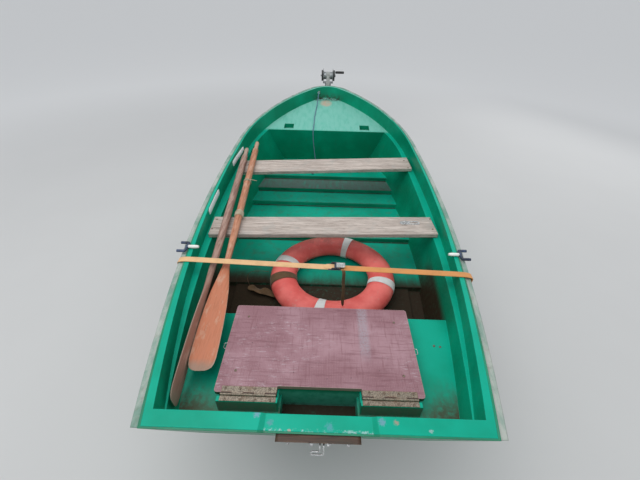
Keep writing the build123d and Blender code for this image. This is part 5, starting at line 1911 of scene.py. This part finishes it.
def makeBunks():
    look = bunkLook
    low, high = boxOf("side_bunks")
    wide = look["wide"]
    size = (wide - 0.001, high.y - low.y, high.z - low.z - 0.0004)
    bunks = []
    for side in (-1, 1):
        place = (side * (high.x - wide / 2), (low.y + high.y) / 2, (low.z + high.z) / 2 - 0.0002)
        bunk = block("bunkCarpet", size, place)
        pick(bunk, lambda edge: edgeRun(edge, 1) > 0.5, "EDGE")
        bpy.ops.mesh.bevel(offset=look["round"], segments=4)
        leave()
        cutUp(bunk, lambda edge: edgeRun(edge, 1) > 0.5, "EDGE", look["cuts"])
        lumpy(bunk, "carpetLumps", look["lumpSize"], look["lump"], 1.0)
        bunks.append(bunk)
    carpets = dress(joined("bunkCarpets", bunks), boat, carpetMaterial, 50)
    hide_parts("side_bunks")


makeBunks()
print("bunks made")


# Winch: webbing wound on the drum and led down to a hook in the bow eye, grip on the crank

winchParts = {
    "drumHeight": 1.262, "turns": 5, "turnRise": 0.0004, "wide": 0.0195, "inset": 0.0006,
    "radii": (0.0336, 0.0343, 0.0344),  # of a turn at its edge, beside it and in the middle
    # x, station, height over the seat ledge, twist
    "lead": ((0, 3.112, 0.211, 0), (0, 3.1336, 0.2708, 0), (0, 3.1660, 0.3609, 0), (0, 3.2014, 0.4591, 0)),
    "leadWidth": 0.0385, "leadThickness": 0.0024,
    # station, height over the seat ledge
    "hook": ((3.1155, 0.220), (3.119, 0.212), (3.117, 0.203), (3.1085, 0.198), (3.100, 0.200),
             (3.0975, 0.206)),
    "hookX": 0.004, "hookRod": 0.0026,
    "gripPlace": (0.0785, 0.166, 0),  # from the drum's middle
    "gripEnds": ((0.0, 0.0082), (0.002, 0.0115)), "gripCap": ((0.088, 0.0110), (0.089, 0.0)),
    "ribs": 13, "ribStep": 0.006, "ribHigh": 0.0128, "ribLow": 0.0118,
}


def makeWinchParts():
    look = winchParts
    drum = lowPoint(0, winchPostStation, look["drumHeight"])
    turns = []
    for index in range(look["turns"]):
        wide = look["wide"] - look["inset"] * (index % 2)
        rise = index * look["turnRise"]
        edge, beside, crown = [radius + rise for radius in look["radii"]]
        section = [(-wide, 0, edge), (-wide, 0, beside), (0, 0, crown), (wide, 0, beside), (wide, 0, edge)]
        turns.append(spun(drawn("winchTurn", section), 48, (1, 0, 0), center=(0, 0.0003 * index, 0)))
    wound = joined("winchTurns", turns)
    wound.matrix_world = Matrix.Translation(drum)
    settle(wound)
    lead = ribbon("winchLead", look["lead"], look["leadWidth"], look["leadThickness"], (1, 0, 0))
    hookLine = [boatPoint(look["hookX"], *place) for place in look["hook"]]
    hook = bentRod("winchHook", hookLine, look["hookRod"])
    dress(hook, boat, zincMaterial, 50)
    webbing = dress(joined("winchStrap", [lead, wound]), boat, webbingMaterial, 50)
    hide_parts("winch_strap")
    # hand grip on the crank, ribbed
    ribs = [(0.006 + step * look["ribStep"], look["ribHigh"] if step % 2 else look["ribLow"])
            for step in range(look["ribs"])]
    outline = [*look["gripEnds"], *ribs, *look["gripCap"]]
    grip = drawn("crankGrip", [(along, 0, out) for along, out in outline])
    spun(grip, 24, (1, 0, 0))
    grip.matrix_world = Matrix.Translation(drum + Vector(look["gripPlace"]))
    dress(grip, boat, blackMaterial, 40)


makeWinchParts()
print("winch parts made")


# Stage: pale floor, soft light

stageLook = {
    "floorSize": 600,
    "floor": (0.60, 0.60, 0.59, 1), "floorPale": (0.64, 0.64, 0.63, 1), "farFloor": (0.86, 0.86, 0.85, 1),
    "backdrop": (0.533, 0.550, 0.570, 1), "daylight": (0.62, 0.64, 0.67, 1),
    # name, place, aim, size, power
    "lamps": (
        ("overhead", (-1.2, -1.5, 5.0), (0, 0, 0.6), 4.5, 114),
        ("sideFill", (4.0, 2.5, 3.0), (0, 0.5, 0.7), 4.0, 35),
    ),
}


def paleAbove(tree, target, shown, lit):
    # shown to the camera, in gloss and through glass; lit on all else
    path = tree.nodes.new("ShaderNodeLightPath")
    seen = path.outputs["Is Camera Ray"]
    for kind in ("Is Glossy Ray", "Is Transmission Ray"):
        either = tree.nodes.new("ShaderNodeMath")
        either.operation = "MAXIMUM"
        tree.links.new(seen, either.inputs[0])
        tree.links.new(path.outputs[kind], either.inputs[1])
        seen = either.outputs[0]
    mix = tree.nodes.new("ShaderNodeMix")
    mix.data_type = "RGBA"
    tree.links.new(seen, mix.inputs["Factor"])
    mix.inputs[6].default_value = lit
    mix.inputs[7].default_value = shown
    tree.links.new(mix.outputs[2], target)


def setStage():
    look = stageLook
    bpy.ops.mesh.primitive_plane_add(size=look["floorSize"], location=(0, 0, 0))
    floor = bpy.context.object
    floor.name = "studio_floor"
    ground = Finish("studioFloor")
    tone = ground.mix(ground.noise(0.9), look["floor"], look["floorPale"])
    # far off the lamps fade, so the floor grows paler and meets the backdrop unseen
    x, y, _ = ground.axes()
    tone = ground.mix((x * x + y * y).step(0.0, 60.0), tone, look["farFloor"])
    floor.data.materials.append(ground.surface(Base_Color=tone, Roughness=0.85))
    world = bpy.data.worlds.new("softDay")
    bpy.context.scene.world = world
    world.use_nodes = True
    background = world.node_tree.nodes["Background"]
    background.inputs["Strength"].default_value = 1.0
    paleAbove(world.node_tree, background.inputs["Color"], look["backdrop"], look["daylight"])
    for name, place, aim, size, power in look["lamps"]:
        data = bpy.data.lights.new(name, "AREA")
        data.size = size
        data.energy = power
        lamp = bpy.data.objects.new(name, data)
        bpy.context.scene.collection.objects.link(lamp)
        lamp.location = place
        lamp.rotation_euler = (Vector(aim) - Vector(place)).to_track_quat("-Z", "Y").to_euler()
    bpy.context.scene.view_settings.view_transform = "Standard"


setStage()
print("stage set")
